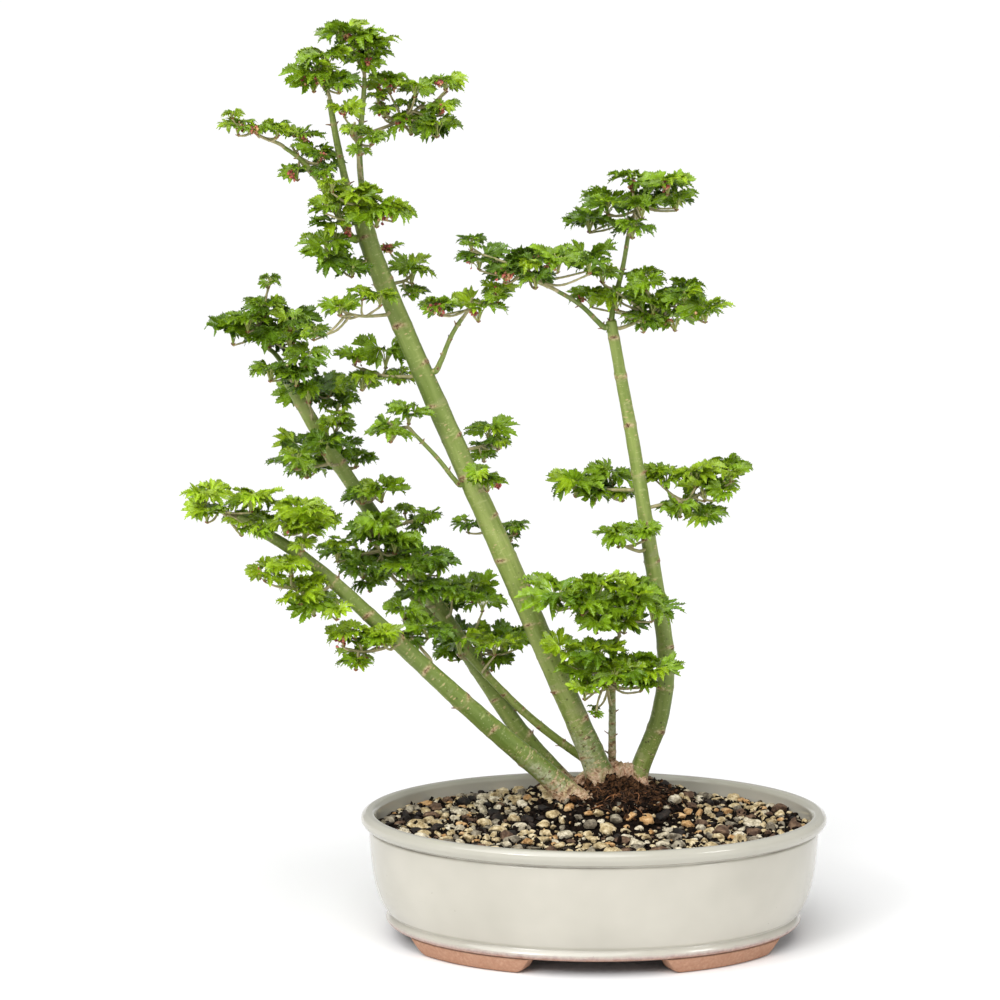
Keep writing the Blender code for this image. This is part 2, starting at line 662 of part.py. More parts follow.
def tree_of(mesh, matrix):
    bm = bmesh.new()
    bm.from_mesh(mesh)
    bm.transform(matrix)
    tree = BVHTree.FromBMesh(bm)
    points = [vertex.co.copy() for vertex in bm.verts]
    bm.free()
    return tree, points


def is_clear(mesh, matrix, neighbours, distance):
    """True where the shape neither crosses a neighbour nor comes nearer to one than `distance`."""
    tree, points = tree_of(mesh, matrix)
    for neighbour in neighbours:
        if tree.overlap(neighbour):
            return False
        if distance and any(neighbour.find_nearest(point, distance * MM)[0] for point in points):
            return False
    return True


def largest_body(mesh):
    """Drops scraps and sealed hollows: only the body with the most faces stays."""
    bm = bmesh.new()
    bm.from_mesh(mesh)
    bmesh.ops.remove_doubles(bm, verts=bm.verts, dist=WELD)
    bmesh.ops.dissolve_degenerate(bm, edges=bm.edges, dist=WELD)
    left = set(bm.faces)
    bodies = []
    while left:
        body = {left.pop()}
        edge_of = list(body)
        while edge_of:
            face = edge_of.pop()
            for edge in face.edges:
                for linked in edge.link_faces:
                    if linked in left:
                        left.remove(linked)
                        body.add(linked)
                        edge_of.append(linked)
        bodies.append(body)
    bodies.sort(key=len)
    scraps = [face for body in bodies[:-1] for face in body]
    bmesh.ops.delete(bm, geom=scraps, context="FACES")
    loose = [vertex for vertex in bm.verts if not vertex.link_faces]
    bmesh.ops.delete(bm, geom=loose, context="VERTS")
    is_closed = all(edge.is_manifold for edge in bm.edges)
    bm.to_mesh(mesh)
    bm.free()
    return is_closed


def fuse(spine, pieces, solver):
    """One closed body from the stem and its pieces, or None where the solver leaves it open."""
    group = new_collection(spine.name + "_pieces")
    for mesh, matrix in pieces:
        piece = add_mesh("piece", mesh, group)
        piece.matrix_world = matrix
    join = spine.modifiers.new("Join", "BOOLEAN")
    join.operation = "UNION"
    join.operand_type = "COLLECTION"
    join.collection = group
    join.solver = solver
    mesh = evaluated_mesh(spine)
    spine.modifiers.remove(join)
    for piece in list(group.objects):
        bpy.data.objects.remove(piece)
    bpy.data.collections.remove(group)
    return mesh if largest_body(mesh) else None


def twig_pieces(mass, twigs, neighbours):
    """The meshes of the twigs that keep clear, by twig number; the last twig is the stem's own end."""
    meshes = {}
    for number, twig in enumerate(twigs[:-1]):
        mesh = twig_mesh(twig.start, twig.end, TWIG_RADIUS, TWIG_TIP_RADIUS)
        if is_clear(mesh, Matrix(), neighbours, 2 * GAP):
            meshes[number] = mesh
    return meshes


def leaf_pieces(wanted, leaves, twigs_made, neighbours, own, leaf):
    """The places of the wanted number of leaves, each on a twig that was made and clear of the rest."""
    places = []
    for number, planned in leaves:
        matrix = leaf_matrix(planned)
        if len(places) == wanted:
            break
        if number not in twigs_made or not is_clear(leaf, matrix, neighbours, 2 * GAP):
            continue
        if is_clear(leaf, matrix, own, 0):
            places.append(matrix)
            own.append(tree_of(leaf, matrix @ Matrix.Translation((LEAF_FREE, 0, 0)))[0])
    return places


def flower_pieces(mass, twigs, neighbours):
    """The mass's flower clusters and their stalks, hung under the first twigs with room for them."""
    pieces = []
    for twig in twigs:
        place = twig.end.lerp(twig.start, 0.1)
        ball = flower_mesh(place)
        stalk = twig_mesh(place + UP * 0.4, place - UP * FLOWER_DROP, 0.9, 0.8)
        clear = is_clear(ball, Matrix(), neighbours, 2 * GAP) and is_clear(stalk, Matrix(), neighbours, 0)
        if clear and len(pieces) < 2 * mass.flowers:
            pieces += [(ball, Matrix()), (stalk, Matrix())]
    return pieces


def make_mass(mass, limbs, neighbours, collection, leaf):
    """Grows one mass, leaving out what would touch a limb or another mass, and joins it into one body."""
    limb = limbs[mass.limb]
    start, out = tip_start(limb) if mass.at == 1.0 else side_start(limb, mass.at, Vector(mass.centre))
    plan, twigs, leaves = plan_mass(mass, start, out)
    spine = tube(mass.name, plan.route, plan.radii, 0, collection, LEAF)
    if not is_clear(spine.data, Matrix(), neighbours, 0.9 * GAP):
        raise ValueError(mass.name + " has a stem that touches something")
    twig_meshes = twig_pieces(mass, twigs, neighbours)
    pieces = [(mesh, Matrix()) for mesh in twig_meshes.values()]
    flowers = flower_pieces(mass, twigs, neighbours)
    own = [tree_of(*piece)[0] for piece in flowers]
    wanted = round(leaf_count(mass))
    places = leaf_pieces(wanted, leaves, {*twig_meshes, len(twigs) - 1}, neighbours, own, leaf)
    pieces += flowers + [(leaf, matrix) for matrix in places]
    mesh = fuse(spine, pieces, "MANIFOLD") or fuse(spine, pieces, "EXACT")
    while mesh is None:
        pieces.pop()
        mesh = fuse(spine, pieces, "MANIFOLD")
    spine.data = mesh
    mesh.materials.clear()
    mesh.materials.append(material(*LEAF))
    return tree_of(mesh, Matrix())[0]


def move_origin(collection):
    """Moves everything so that the origin is the middle of the underside of the whole bounding box."""
    corners = [vertex.co for thing in collection.objects for vertex in thing.data.vertices]
    low = Vector(min(corner[axis] for corner in corners) for axis in range(3))
    high = Vector(max(corner[axis] for corner in corners) for axis in range(3))
    middle = Vector((0.5 * (low.x + high.x), 0.5 * (low.y + high.y), low.z))
    for thing in bpy.data.objects:
        thing.location -= middle


def main():
    clear_scene()
    plant = new_collection("potted_japanese_maple")
    cutters = new_collection("cutters")
    make_pot(plant, cutters)
    make_feet(plant)
    make_soil(plant, cutters)
    limbs = {}
    for limb in LIMBS:
        limbs[limb.name] = make_limb(limb, limbs, plant)
    neighbours = [tree_of(thing.data, Matrix())[0] for thing in plant.objects]
    leaf = leaf_mesh()
    for mass in MASSES:
        neighbours.append(make_mass(mass, limbs, neighbours, plant, leaf))
    move_origin(plant)


main()
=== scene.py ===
"""Looks of the potted japanese maple bonsai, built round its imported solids.

The plan is in millimetres from the middle of the pot's foot plane, as in the part's source, and MM and
HOME turn it into the row frame. Limbs and masses grow by the source's rule, carried on to finer twigs.
"""

import math
import random
from collections import namedtuple

import bmesh
import bpy
import numpy as np
from mathutils import Matrix, Vector, noise


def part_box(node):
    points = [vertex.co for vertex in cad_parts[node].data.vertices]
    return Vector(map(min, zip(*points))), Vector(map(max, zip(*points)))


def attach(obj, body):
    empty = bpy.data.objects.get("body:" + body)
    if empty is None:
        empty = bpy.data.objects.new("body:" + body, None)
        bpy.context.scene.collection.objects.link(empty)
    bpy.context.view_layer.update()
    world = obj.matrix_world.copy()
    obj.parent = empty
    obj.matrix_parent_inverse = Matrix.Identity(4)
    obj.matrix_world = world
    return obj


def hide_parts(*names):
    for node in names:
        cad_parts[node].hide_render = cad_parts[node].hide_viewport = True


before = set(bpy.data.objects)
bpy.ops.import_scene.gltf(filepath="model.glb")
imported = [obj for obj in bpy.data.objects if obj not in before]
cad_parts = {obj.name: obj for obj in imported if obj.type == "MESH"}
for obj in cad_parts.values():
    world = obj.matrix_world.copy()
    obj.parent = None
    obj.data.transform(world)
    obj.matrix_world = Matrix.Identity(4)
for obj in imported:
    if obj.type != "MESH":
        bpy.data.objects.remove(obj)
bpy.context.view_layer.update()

MM = 0.001
GAP = 0.3
UP = Vector((0, 0, 1))
# About a full turn, for angles dealt out at random.
ANY_TURN = 6.3

pot_low, pot_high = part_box("pot")
HOME = Vector((0.5 * (pot_low.x + pot_high.x), 0.5 * (pot_low.y + pot_high.y), 0.0))

# ---------------------------------------------------------------- plan, as in the source

POT_ASPECT = 0.775
WALL_TOP, WALL_FOOT, WALL_RADIUS, WALL_THICKNESS = 71.3, 16.2, 147.3, 6.0
WALL_SLOPE, WALL_TURN = 4, 9
RIM_RADIUS, RIM_TOP, RIM_INNER = 152.5, 83.3, 142.5
FOOT_HEIGHT, BAND_RADIUS = 10.0, 136.2
FOOT_MIDDLE_DEG, FOOT_SPAN_DEG, FOOT_FLARE_DEG = 40.5, 39.0, 4.0
FOOT_OUTER_TOP, FOOT_OUTER_BOTTOM, FOOT_WIDTH = 134.0, 130.0, 15.0
SOIL_EDGE, MOUND_TOP, MOUND_FLAT_RADIUS, MOUND_FALL = 74.0, 88.0, 42.0, 20.0
MOUND_CENTRE = Vector((10, 36))
SOIL_CLEARANCE = 0.5
FLARE, FLARE_HEIGHT, FLARE_LOBES, FLARE_LOBE_DEPTH = 6.0, 9.0, 5, 0.16
STAND_OFF = 4.0
SPINE_REACH, SPINE_SAG, SPINE_SAG_AT = 0.3, 0.12, 0.55
TWIGS_FROM, TWIGS_OVER = 0.45, 0.45
SPACE_POWER, THROUGH_LEVELLED, LIMB_STEP = 3.0, 0.5, 1.3

Limb = namedtuple("Limb", "name joins base tip route")
LIMBS = (
    Limb("trunk_main", None, 8.4, 6.2, ((10, 36, 78), (6, 35, 98), (-31, 31, 184), (-60, 28, 251),
         (-118, 22, 383), (-143, 19, 444), (-151, 18, 472))),
    Limb("trunk_left", None, 5.9, 4.6, ((-8, 56, 78), (-28, 57, 101), (-51, 58, 128), (-104, 60, 209),
         (-155, 62, 283), (-188, 63, 335), (-205, 64, 368))),
    Limb("trunk_low", None, 8.0, 3.2, ((-3, 14, 79), (-22, 12, 97), (-71, 4, 141), (-123, -5, 191),
         (-182, -14, 248), (-229, -20, 279))),
    Limb("trunk_right", None, 6.6, 3.6, ((25, 47, 78), (37, 44, 114), (44, 42, 131), (49, 40, 162),
         (48, 38, 189), (41, 36, 230), (28, 32, 310), (17, 30, 369), (11, 28, 401))),
    Limb("stem_crossing", None, 3.2, 2.0, ((10, 64, 78), (5, 59, 98), (-11, 54, 110), (-48, 48, 141),
         (-98, 42, 195), (-129, 38, 228))),
    Limb("shoot_base", None, 2.9, 1.9, ((16, 60, 78), (14, 52, 100), (13, 28, 151), (12, 12, 184),
         (15, 6, 196))),
    Limb("fork_left", ("trunk_main", 1.0), 2.7, 1.9, ((-154, 16, 468), (-160, 14, 490), (-166, 10, 519),
         (-170, 6, 544))),
    Limb("fork_right", ("trunk_main", 1.0), 2.3, 1.5, ((-148, 21, 468), (-151, 21, 493), (-152, 24, 515),
         (-149, 31, 550), (-149, 33, 558))),
    Limb("arm_left", ("trunk_main", 0.965), 2.2, 1.3, ((-182, 10, 500), (-199, 6, 514))),
    Limb("bough_left", ("trunk_left", 1.0), 2.0, 1.5, ((-203, 64, 364), (-206, 63, 374), (-214, 58, 381))),
    Limb("shoot_upper", ("trunk_main", 0.735), 1.9, 1.3, ((-94, 16, 392), (-86, 11, 404))),
    Limb("shoot_middle", ("trunk_main", 0.56), 1.7, 1.2, ((-98, 16, 309), (-118, 9, 331))),
    Limb("arm_right", ("trunk_right", 0.993), 1.8, 1.3, ((-6, 18, 411), (-24, 9, 422))),
    Limb("riser_right", ("trunk_right", 1.0), 2.0, 1.4, ((11, 28, 397), (12, 29, 412), (18, 33, 432),
         (22, 35, 456))),
)

# The masses of leaves: each mass's limb and place along it, its middle and half sizes, as in the source, then
# its tint (below 0 towards the dark leaves, above 0 the yellow-green ones) and its sprays. A spray is its
# place along X and Z in hundredths of the half sizes, the reach of its leaves and its bunches of flowers.
Mass = namedtuple("Mass", "name limb at centre radii tint sprays")
MASSES = (
    Mass("leaves_top_left", "fork_left", 1.0, (-179, 6, 565), (21, 20, 17), 0.1, (
        (-5, -40, 23, 3), (35, 35, 25), (75, -55, 16, 1), (10, -5, 14))),
    Mass("leaves_top_right", "fork_right", 1.0, (-155, 34, 579), (24, 22, 17), 0.1, (
        (-36, 45, 19, 1), (10, 30, 23), (40, 0, 19), (30, -60, 17, 1))),
    Mass("leaves_fork_pad", "fork_right", 0.62, (-119, 40, 541), (34, 26, 24), 0.1, (
        (-40, 60, 18, 3), (66, 62, 14, 1), (-50, -10, 12, 3), (0, -45, 21, 1), (50, -50, 20, 1),
        (8, 45, 15), (-62, 28, 11, 1), (-5, 5, 12), (58, -2, 12, 1))),
    Mass("leaves_between_forks", "fork_right", 0.3, (-153, -4, 527), (19, 18, 18), 0.25, (
        (-35, 60, 13, 1), (-10, -10, 10), (55, -30, 12), (15, -80, 9))),
    Mass("leaves_arm_tip", "arm_left", 1.0, (-218, -2, 527), (20, 18, 14), 0.2, (
        (-50, 5, 15, 1), (14, -5, 11, 2), (75, -5, 13), (-66, 60, 8))),
    Mass("leaves_arm_inner", "arm_left", 0.6, (-190, 12, 512), (22, 20, 20), -0.1, (
        (10, 50, 15, 3), (60, -5, 17, 1), (75, -55, 15), (-5, -70, 13, 1))),
    Mass("leaves_trunk_top", "trunk_main", 0.99, (-150, -8, 480), (35, 22, 13), 0.35, (
        (-35, -20, 22), (30, -50, 24, 1), (-5, 40, 18, 1), (60, -46, 16, 2), (-62, -5, 13), (-50, 80, 11))),
    Mass("leaves_upper_left", "trunk_main", 0.93, (-172, 2, 450), (23, 22, 21), -0.15, (
        (25, 65, 22, 1), (0, 10, 23), (70, -50, 17, 1), (0, -30, 19))),
    Mass("leaves_upper_right", "trunk_main", 0.88, (-121, 40, 432), (20, 18, 19), 0.1, (
        (-60, 90, 9, 2), (12, 8, 20), (15, -60, 11))),
    Mass("leaves_high_left", "trunk_main", 0.845, (-157, -10, 411), (32, 20, 19), 0.25, (
        (60, 45, 15), (-20, 15, 15), (-72, -66, 12), (25, 60, 12))),
    Mass("leaves_upper_shoot", "shoot_upper", 1.0, (-83, 6, 415), (36, 24, 16), 0.2, (
        (22, -20, 23, 1), (-48, -8, 16, 2), (55, 45, 14, 2))),
    Mass("leaves_mid_left", "trunk_main", 0.74, (-145, 44, 369), (28, 20, 19), 0.15, (
        (30, 50, 23), (-25, -35, 18), (62, -20, 12), (-42, 45, 15, 1))),
    Mass("leaves_middle_shoot", "shoot_middle", 1.0, (-128, 4, 337), (22, 20, 17), -0.1, (
        (35, 40, 19), (-18, -25, 19, 1))),
    Mass("leaves_mid_back", "trunk_main", 0.6, (-69, 54, 321), (19, 22, 15), -0.1, (
        (0, 45, 18), (35, -5, 12), (-15, -50, 13, 1))),
    Mass("leaves_mid_front", "trunk_main", 0.54, (-71, 4, 302), (15, 14, 11), 0.0, (
        (10, -30, 15, 1), (-25, 30, 12))),
    Mass("leaves_behind_trunk", "trunk_main", 0.44, (-68, 56, 262), (28, 22, 12), -0.2, (
        (-52, 18, 14), (60, 12, 12), (50, -70, 7))),
    Mass("leaves_left_top", "bough_left", 1.0, (-218, 50, 402), (40, 30, 21), -0.15, (
        (-48, -42, 22), (5, 40, 18), (48, 5, 20), (12, -50, 21), (48, -55, 17), (-20, -5, 18),
        (12, 120, 9))),
    Mass("leaves_left_front", "trunk_left", 0.97, (-200, 34, 372), (30, 24, 13), -0.2, (
        (38, 50, 19), (-38, -20, 18), (20, -35, 18))),
    Mass("leaves_left_back", "trunk_left", 0.92, (-185, 84, 353), (38, 26, 15), 0.0, (
        (-22, -35, 19), (25, 20, 21), (40, -50, 16))),
    Mass("leaves_left_small", "trunk_left", 0.84, (-170, 46, 331), (17, 16, 9), 0.0, (
        (0, 0, 17), (15, 75, 13))),
    Mass("leaves_left_middle", "trunk_left", 0.77, (-180, 84, 309), (40, 26, 15), 0.0, (
        (-40, 20, 23), (-28, -52, 21), (25, 10, 18, 1), (55, -20, 16))),
    Mass("leaves_left_lower", "trunk_left", 0.7, (-144, 44, 288), (23, 20, 12), 0.0, (
        (20, 10, 21), (-35, -10, 17))),
    Mass("leaves_left_right", "trunk_left", 0.63, (-116, 68, 269), (18, 16, 9), -0.1, (
        (-50, 45, 9), (37, 0, 12), (-10, -60, 10))),
    Mass("leaves_low_tip", "trunk_low", 1.0, (-235, -20, 284), (30, 26, 19), 0.4, (
        (-50, 45, 20), (50, 40, 20), (30, -40, 18), (-45, -5, 17), (70, -45, 14))),
    Mass("leaves_low_top", "trunk_low", 0.86, (-186, -30, 279), (26, 24, 19), 0.4, (
        (-10, 34, 22), (20, 20, 19), (35, -5, 18), (-48, -15, 16, 1), (5, -20, 19), (-2, -75, 11))),
    Mass("leaves_low_under", "trunk_low", 0.76, (-190, -26, 236), (33, 26, 22), 0.5, (
        (-66, 42, 17, 1), (-14, 62, 16), (5, -10, 21), (30, -55, 18), (75, -60, 15))),
    Mass("leaves_low_hanging", "trunk_low", 0.58, (-152, -18, 194), (26, 20, 18), 0.4, (
        (-40, 40, 16, 1), (45, 40, 16), (-8, -35, 16, 1), (-10, 70, 15))),
    Mass("leaves_dense_middle", "stem_crossing", 1.0, (-136, 36, 250), (45, 26, 27), -0.1, (
        (-25, 50, 18), (12, 25, 21), (-72, 5, 18), (58, -15, 22), (-35, -30, 21), (28, -42, 21),
        (-25, -72, 17), (75, -40, 16), (-10, 72, 19))),
    Mass("leaves_centre_back", "trunk_left", 0.44, (-90, 84, 213), (35, 24, 17), -0.2, (
        (-20, 15, 22), (30, 22, 21), (-20, -25, 18))),
    Mass("leaves_centre_left", "trunk_low", 0.48, (-120, 14, 203), (26, 18, 17), 0.0, (
        (-15, 60, 15), (42, -5, 19), (0, -42, 15))),
    Mass("leaves_centre_low", "trunk_left", 0.32, (-75, 82, 180), (37, 24, 22), -0.1, (
        (-20, 25, 22), (40, 12, 23), (-55, -15, 17), (22, -52, 19), (68, 20, 13))),
    Mass("leaves_base_upper", "shoot_base", 1.0, (5, 0, 224), (52, 26, 23), 0.15, (
        (-55, 8, 26), (-5, 35, 22), (40, 20, 21), (62, -28, 22), (-8, -60, 18), (-25, -10, 19),
        (20, -18, 20), (28, -72, 18))),
    Mass("leaves_base_lower", "shoot_base", 0.62, (8, -6, 180), (49, 26, 22), 0.2, (
        (-58, 45, 21), (-10, 45, 22), (34, -2, 21), (62, -18, 20), (10, -5, 19), (-30, -62, 16),
        (45, -38, 15), (-35, -15, 17), (-16, -130, 6))),
    Mass("leaves_right_crown", "riser_right", 1.0, (25, 36, 477), (44, 34, 23), -0.1, (
        (0, 66, 18, 1), (50, 62, 19, 1), (-38, 10, 20), (-64, -44, 19), (12, 2, 21, 1), (-2, -60, 19),
        (64, 18, 17))),
    Mass("leaves_right_arm", "arm_right", 1.0, (-43, 0, 439), (45, 28, 22), -0.35, (
        (-70, 22, 19, 1), (-33, -18, 17, 2), (0, 20, 19, 2), (42, 18, 20, 1), (86, 18, 19), (10, -34, 16),
        (-82, 70, 10))),
    Mass("leaves_right_top", "trunk_right", 0.985, (38, 30, 415), (53, 34, 24), 0.0, (
        (-75, 12, 18, 1), (-45, 10, 20), (-10, 62, 17), (0, -5, 20), (38, 24, 20), (63, -20, 21, 1),
        (-12, -50, 19, 1), (28, -52, 19, 1), (-62, 75, 15))),
    Mass("leaves_right_left", "trunk_right", 0.66, (-2, 56, 291), (34, 24, 15), 0.0, (
        (42, 48, 20), (-27, 10, 23), (8, -28, 18), (65, -40, 12))),
    Mass("leaves_right_outer", "trunk_right", 0.62, (71, 50, 289), (34, 26, 26), 0.2, (
        (-65, 25, 17), (-10, 38, 20), (60, 52, 18), (10, 0, 20), (45, 5, 15), (-40, -42, 17),
        (12, -60, 17), (-85, 40, 12))),
    Mass("leaves_right_small", "trunk_right", 0.54, (20, 22, 259), (24, 18, 14), 0.0, (
        (-16, 15, 19), (55, 42, 15))),
)
MASS_NODES = [mass.name for mass in MASSES]

# Sprays on spurs of their own in front of a stem that the photo shows covered: limb, place, reach, flowers.
SPUR_SPRAYS = (
    ("trunk_left", (-187, 38, 355), 20, 0),
    ("trunk_left", (-177, 34, 321), 20, 0),
    ("trunk_left", (-196, 38, 311), 20, 0),
    ("trunk_left", (-146, 32, 267), 18, 0),
    ("trunk_left", (-114, 28, 224), 20, 0),
    ("trunk_left", (-93, 28, 225), 18, 0),
    ("trunk_left", (-73, 26, 217), 17, 0),
    ("trunk_left", (-88, 22, 190), 21, 0),
    ("trunk_left", (-65, 24, 189), 19, 0),
    ("trunk_low", (-136, -24, 203), 15, 1),
)
# Each spray in turn stands in front of or behind its mass's middle, as a share of the room there.
SPRAY_DEPTHS = (0.0, -0.7, 0.7, -0.35, 0.9, -0.9, 0.45)
SPRAY_ROOM, PAIRED_FROM, PAIR_DROP, PAIR_SHARE = 0.7, 5.0, 2, 0.85

Spray = namedtuple("Spray", "place reach flowers")


def wall_radius(z):
    depth = (WALL_TOP - z) / (WALL_TOP - WALL_FOOT)
    return WALL_RADIUS - WALL_SLOPE * depth - WALL_TURN * depth**4


def ground_height(x, y):
    away = max(0.0, (Vector((x, y)) - MOUND_CENTRE).length - MOUND_FLAT_RADIUS)
    return SOIL_EDGE + (MOUND_TOP - SOIL_EDGE) * math.exp(-((away / MOUND_FALL) ** 2))


def smooth_route(points, spacing):
    """Points about `spacing` apart on a smooth curve that passes through the given ones."""
    knots = [Vector(point) for point in points]
    ends = [2 * knots[0] - knots[1]] + knots + [2 * knots[-1] - knots[-2]]
    route = []
    for before, first, second, after in zip(ends, ends[1:], ends[2:], ends[3:]):
        steps = max(1, round((second - first).length / spacing))
        for step in range(steps):
            t = step / steps
            bend = 2 * before - 5 * first + 4 * second - after
            turn = 3 * first - before - 3 * second + after
            route.append(0.5 * (2 * first + (second - before) * t + bend * t**2 + turn * t**3))
    return route + [knots[-1]]


def route_shares(route):
    """How far along the route each of its points lies, from 0 to 1."""
    reached = [0.0]
    for first, second in zip(route, route[1:]):
        reached.append(reached[-1] + (second - first).length)
    return [length / reached[-1] for length in reached]


def place_along(route, share):
    """(point, direction) at a share of the route's length."""
    shares = route_shares(route)
    for i in range(len(route) - 1):
        if share <= shares[i + 1] or i == len(route) - 2:
            t = (share - shares[i]) / (shares[i + 1] - shares[i])
            return route[i].lerp(route[i + 1], t), (route[i + 1] - route[i]).normalized()
    raise ValueError(share)


def side_start(limb, share, towards):
    """(point, direction) on a limb's side, just clear of its bark and facing a far point."""
    middle, along = place_along(limb.route, share)
    out = towards - middle
    out = (out - along * out.dot(along)).normalized()
    radius = limb.base + (limb.tip - limb.base) * share
    return middle + out * (radius + GAP), out


def tip_start(limb):
    point, along = place_along(limb.route, 1.0)
    return point + along * GAP, along


def scaled(vector, sizes):
    return Vector(a * b for a, b in zip(vector, sizes))


def fullness(share):
    """1 on the surface of a box-like ellipsoid of unit half sizes, and less inside it."""
    return sum(abs(side)**SPACE_POWER for side in share)**(1 / SPACE_POWER)


def depth_in(point, mass):
    return fullness(scaled(point - Vector(mass.centre), [1 / size for size in mass.radii]))


def eased(route, reach=7):
    """The route with its tight bends eased by a moving mean; its ends stay."""
    points = np.array(route)
    for _ in range(2):
        out = points.copy()
        for i in range(1, len(points) - 1):
            near = min(reach, i, len(points) - 1 - i)
            out[i] = points[i - near:i + near + 1].mean(0)
        points = out
    return [Vector(point) for point in points]


def plan_limbs():
    """The limbs by name, each with its full route; a side limb starts inside its parent's bark."""
    limbs = {}
    for limb in LIMBS:
        route = [Vector(point) for point in limb.route]
        if limb.joins and limb.joins[1] < 1.0:
            start, out = side_start(limbs[limb.joins[0]], limb.joins[1], route[0])
            route = [start, start + STAND_OFF * out] + route
        limbs[limb.name] = limb._replace(route=eased(smooth_route(route, LIMB_STEP)))
    return limbs


def plan_stem(mass, start, out):
    """The mass's own stem: out from its limb, then through the middle of the mass."""
    centre = Vector(mass.centre)
    through = centre - start
    through.z *= THROUGH_LEVELLED
    through = through.normalized() if through.length > 1 else out
    end = centre + scaled(through, mass.radii) * SPINE_REACH
    first = start + out * STAND_OFF
    low = first.lerp(end, SPINE_SAG_AT) - UP * SPINE_SAG * mass.radii[2]
    return [start, first, low, end]


def plan_sprays(mass):
    """The mass's sprays; one that stands well off its middle has another on the other side."""
    for number, (x, z, reach, *flowers) in enumerate(mass.sprays):
        room = max(0.0, mass.radii[1] - SPRAY_ROOM * reach)
        depth = SPRAY_DEPTHS[number % len(SPRAY_DEPTHS)] * room
        middle = Vector(mass.centre) + scaled((x / 100, 0, z / 100), mass.radii)
        yield Spray(middle + Vector((0, depth, 0)), reach, sum(flowers))
        if abs(depth) > PAIRED_FROM:
            yield Spray(middle - Vector((0, depth, PAIR_DROP)), PAIR_SHARE * reach, 0)


def nearest_share(limb, place):
    """How far along the limb the point of it lies that is nearest to a place."""
    shares = route_shares(limb.route)
    return min(zip(shares, limb.route), key=lambda pair: (pair[1] - place).length)[0]


def plan_twigs(stem, ends):
    """(start, end) of the twigs from the stem, those that end nearer its foot first."""
    through = stem[-1] - stem[0]
    ordered = sorted(ends, key=lambda end: (end - stem[0]).dot(through))
    for i, end in enumerate(ordered):
        start, _ = place_along(stem, TWIGS_FROM + TWIGS_OVER * i / len(ordered))
        yield start, end


# ---------------------------------------------------------------- meshes

# A stone's flat sides, how flat they are, and how close its bumps stand.
FLAT_SIDES, FLATTENING, BUMPS = 7, 0.85, 1.9
# The angle, in degrees, that shades a piece smooth all over.
SMOOTH = 180


def place_in_scene(name, data):
    thing = bpy.data.objects.new(name, data)
    bpy.context.scene.collection.objects.link(thing)
    return thing


class Batch:
    """Many small meshes joined into one piece; the plan's millimetres become the row frame's metres."""

    def __init__(self, name):
        self.name = name
        self.points, self.faces, self.values, self.count = [], {3: [], 4: []}, {}, 0

    def add(self, points, faces, **values):
        """faces is one array of triangles or quads, or a list of such arrays."""
        points = np.asarray(points, float)
        for group in faces if isinstance(faces, list) else [faces]:
            group = np.asarray(group, int)
            if len(group):
                self.faces[group.shape[1]].append(group + self.count)
        self.points.append(points)
        for name, value in values.items():
            self.values.setdefault(name, []).append(np.asarray(value, float))
        self.count += len(points)

    def triangles(self):
        return sum(len(f) for f in self.faces[3]) + 2 * sum(len(f) for f in self.faces[4])

    def build(self, material, smooth_degrees=None):
        mesh = bpy.data.meshes.new(self.name)
        points = np.concatenate(self.points) * MM + np.array(HOME)
        groups = [np.concatenate(group) for group in self.faces.values() if group]
        corners = np.concatenate([group.ravel() for group in groups])
        totals = np.concatenate([np.full(len(group), group.shape[1]) for group in groups])
        starts = np.concatenate([[0], np.cumsum(totals)[:-1]])
        mesh.vertices.add(len(points))
        mesh.vertices.foreach_set("co", points.astype(np.float32).ravel())
        mesh.loops.add(len(corners))
        mesh.loops.foreach_set("vertex_index", corners.astype(np.int32))
        mesh.polygons.add(len(totals))
        mesh.polygons.foreach_set("loop_start", starts.astype(np.int32))
        mesh.polygons.foreach_set("loop_total", totals.astype(np.int32))
        for name, value in self.values.items():
            value = np.concatenate(value).astype(np.float32)
            kind = "FLOAT" if value.ndim == 1 else "FLOAT_VECTOR"
            made = mesh.attributes.new(name, kind, "POINT")
            made.data.foreach_set("value" if kind == "FLOAT" else "vector", value.ravel())
        mesh.update(calc_edges=True)
        mesh.validate()
        mesh.materials.append(material)
        if smooth_degrees is not None:
            mesh.shade_smooth()
            if smooth_degrees < SMOOTH:
                mesh.set_sharp_from_angle(angle=math.radians(smooth_degrees))
        return place_in_scene(self.name, mesh)


def tapering(radius, share, count):
    """`count` radii that shrink evenly by this share."""
    return [radius * (1 - share * i / (count - 1)) for i in range(count)]


def dress(piece, slot, *nodes):
    """Rides the piece on the one body and hides the CAD nodes it stands for; slot is not used."""
    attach(piece, "root")
    if nodes:
        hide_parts(*nodes)
    return piece


def frames_along(route):
    """Unit (along, across, side) arrays at each point of a route, turned as little as possible."""
    route = np.asarray(route, float)
    along = np.gradient(route, axis=0)
    along /= np.linalg.norm(along, axis=1)[:, None]
    across = np.zeros_like(along)
    start = np.cross(along[0], (0.0, 1.0, 0.02))
    across[0] = start / np.linalg.norm(start)
    for i in range(1, len(route)):
        kept = across[i - 1] - along[i] * np.dot(across[i - 1], along[i])
        across[i] = kept / np.linalg.norm(kept)
    return along, across, np.cross(along, across)


def grid_faces(rings, sides, first=0):
    """Quads of a closed tube of rings, each of `sides` points."""
    ring, side = np.meshgrid(np.arange(rings - 1), np.arange(sides), indexing="ij")
    a = first + ring * sides + side
    b = first + ring * sides + (side + 1) % sides
    return np.stack([a, b, b + sides, a + sides], axis=-1).reshape(-1, 4)


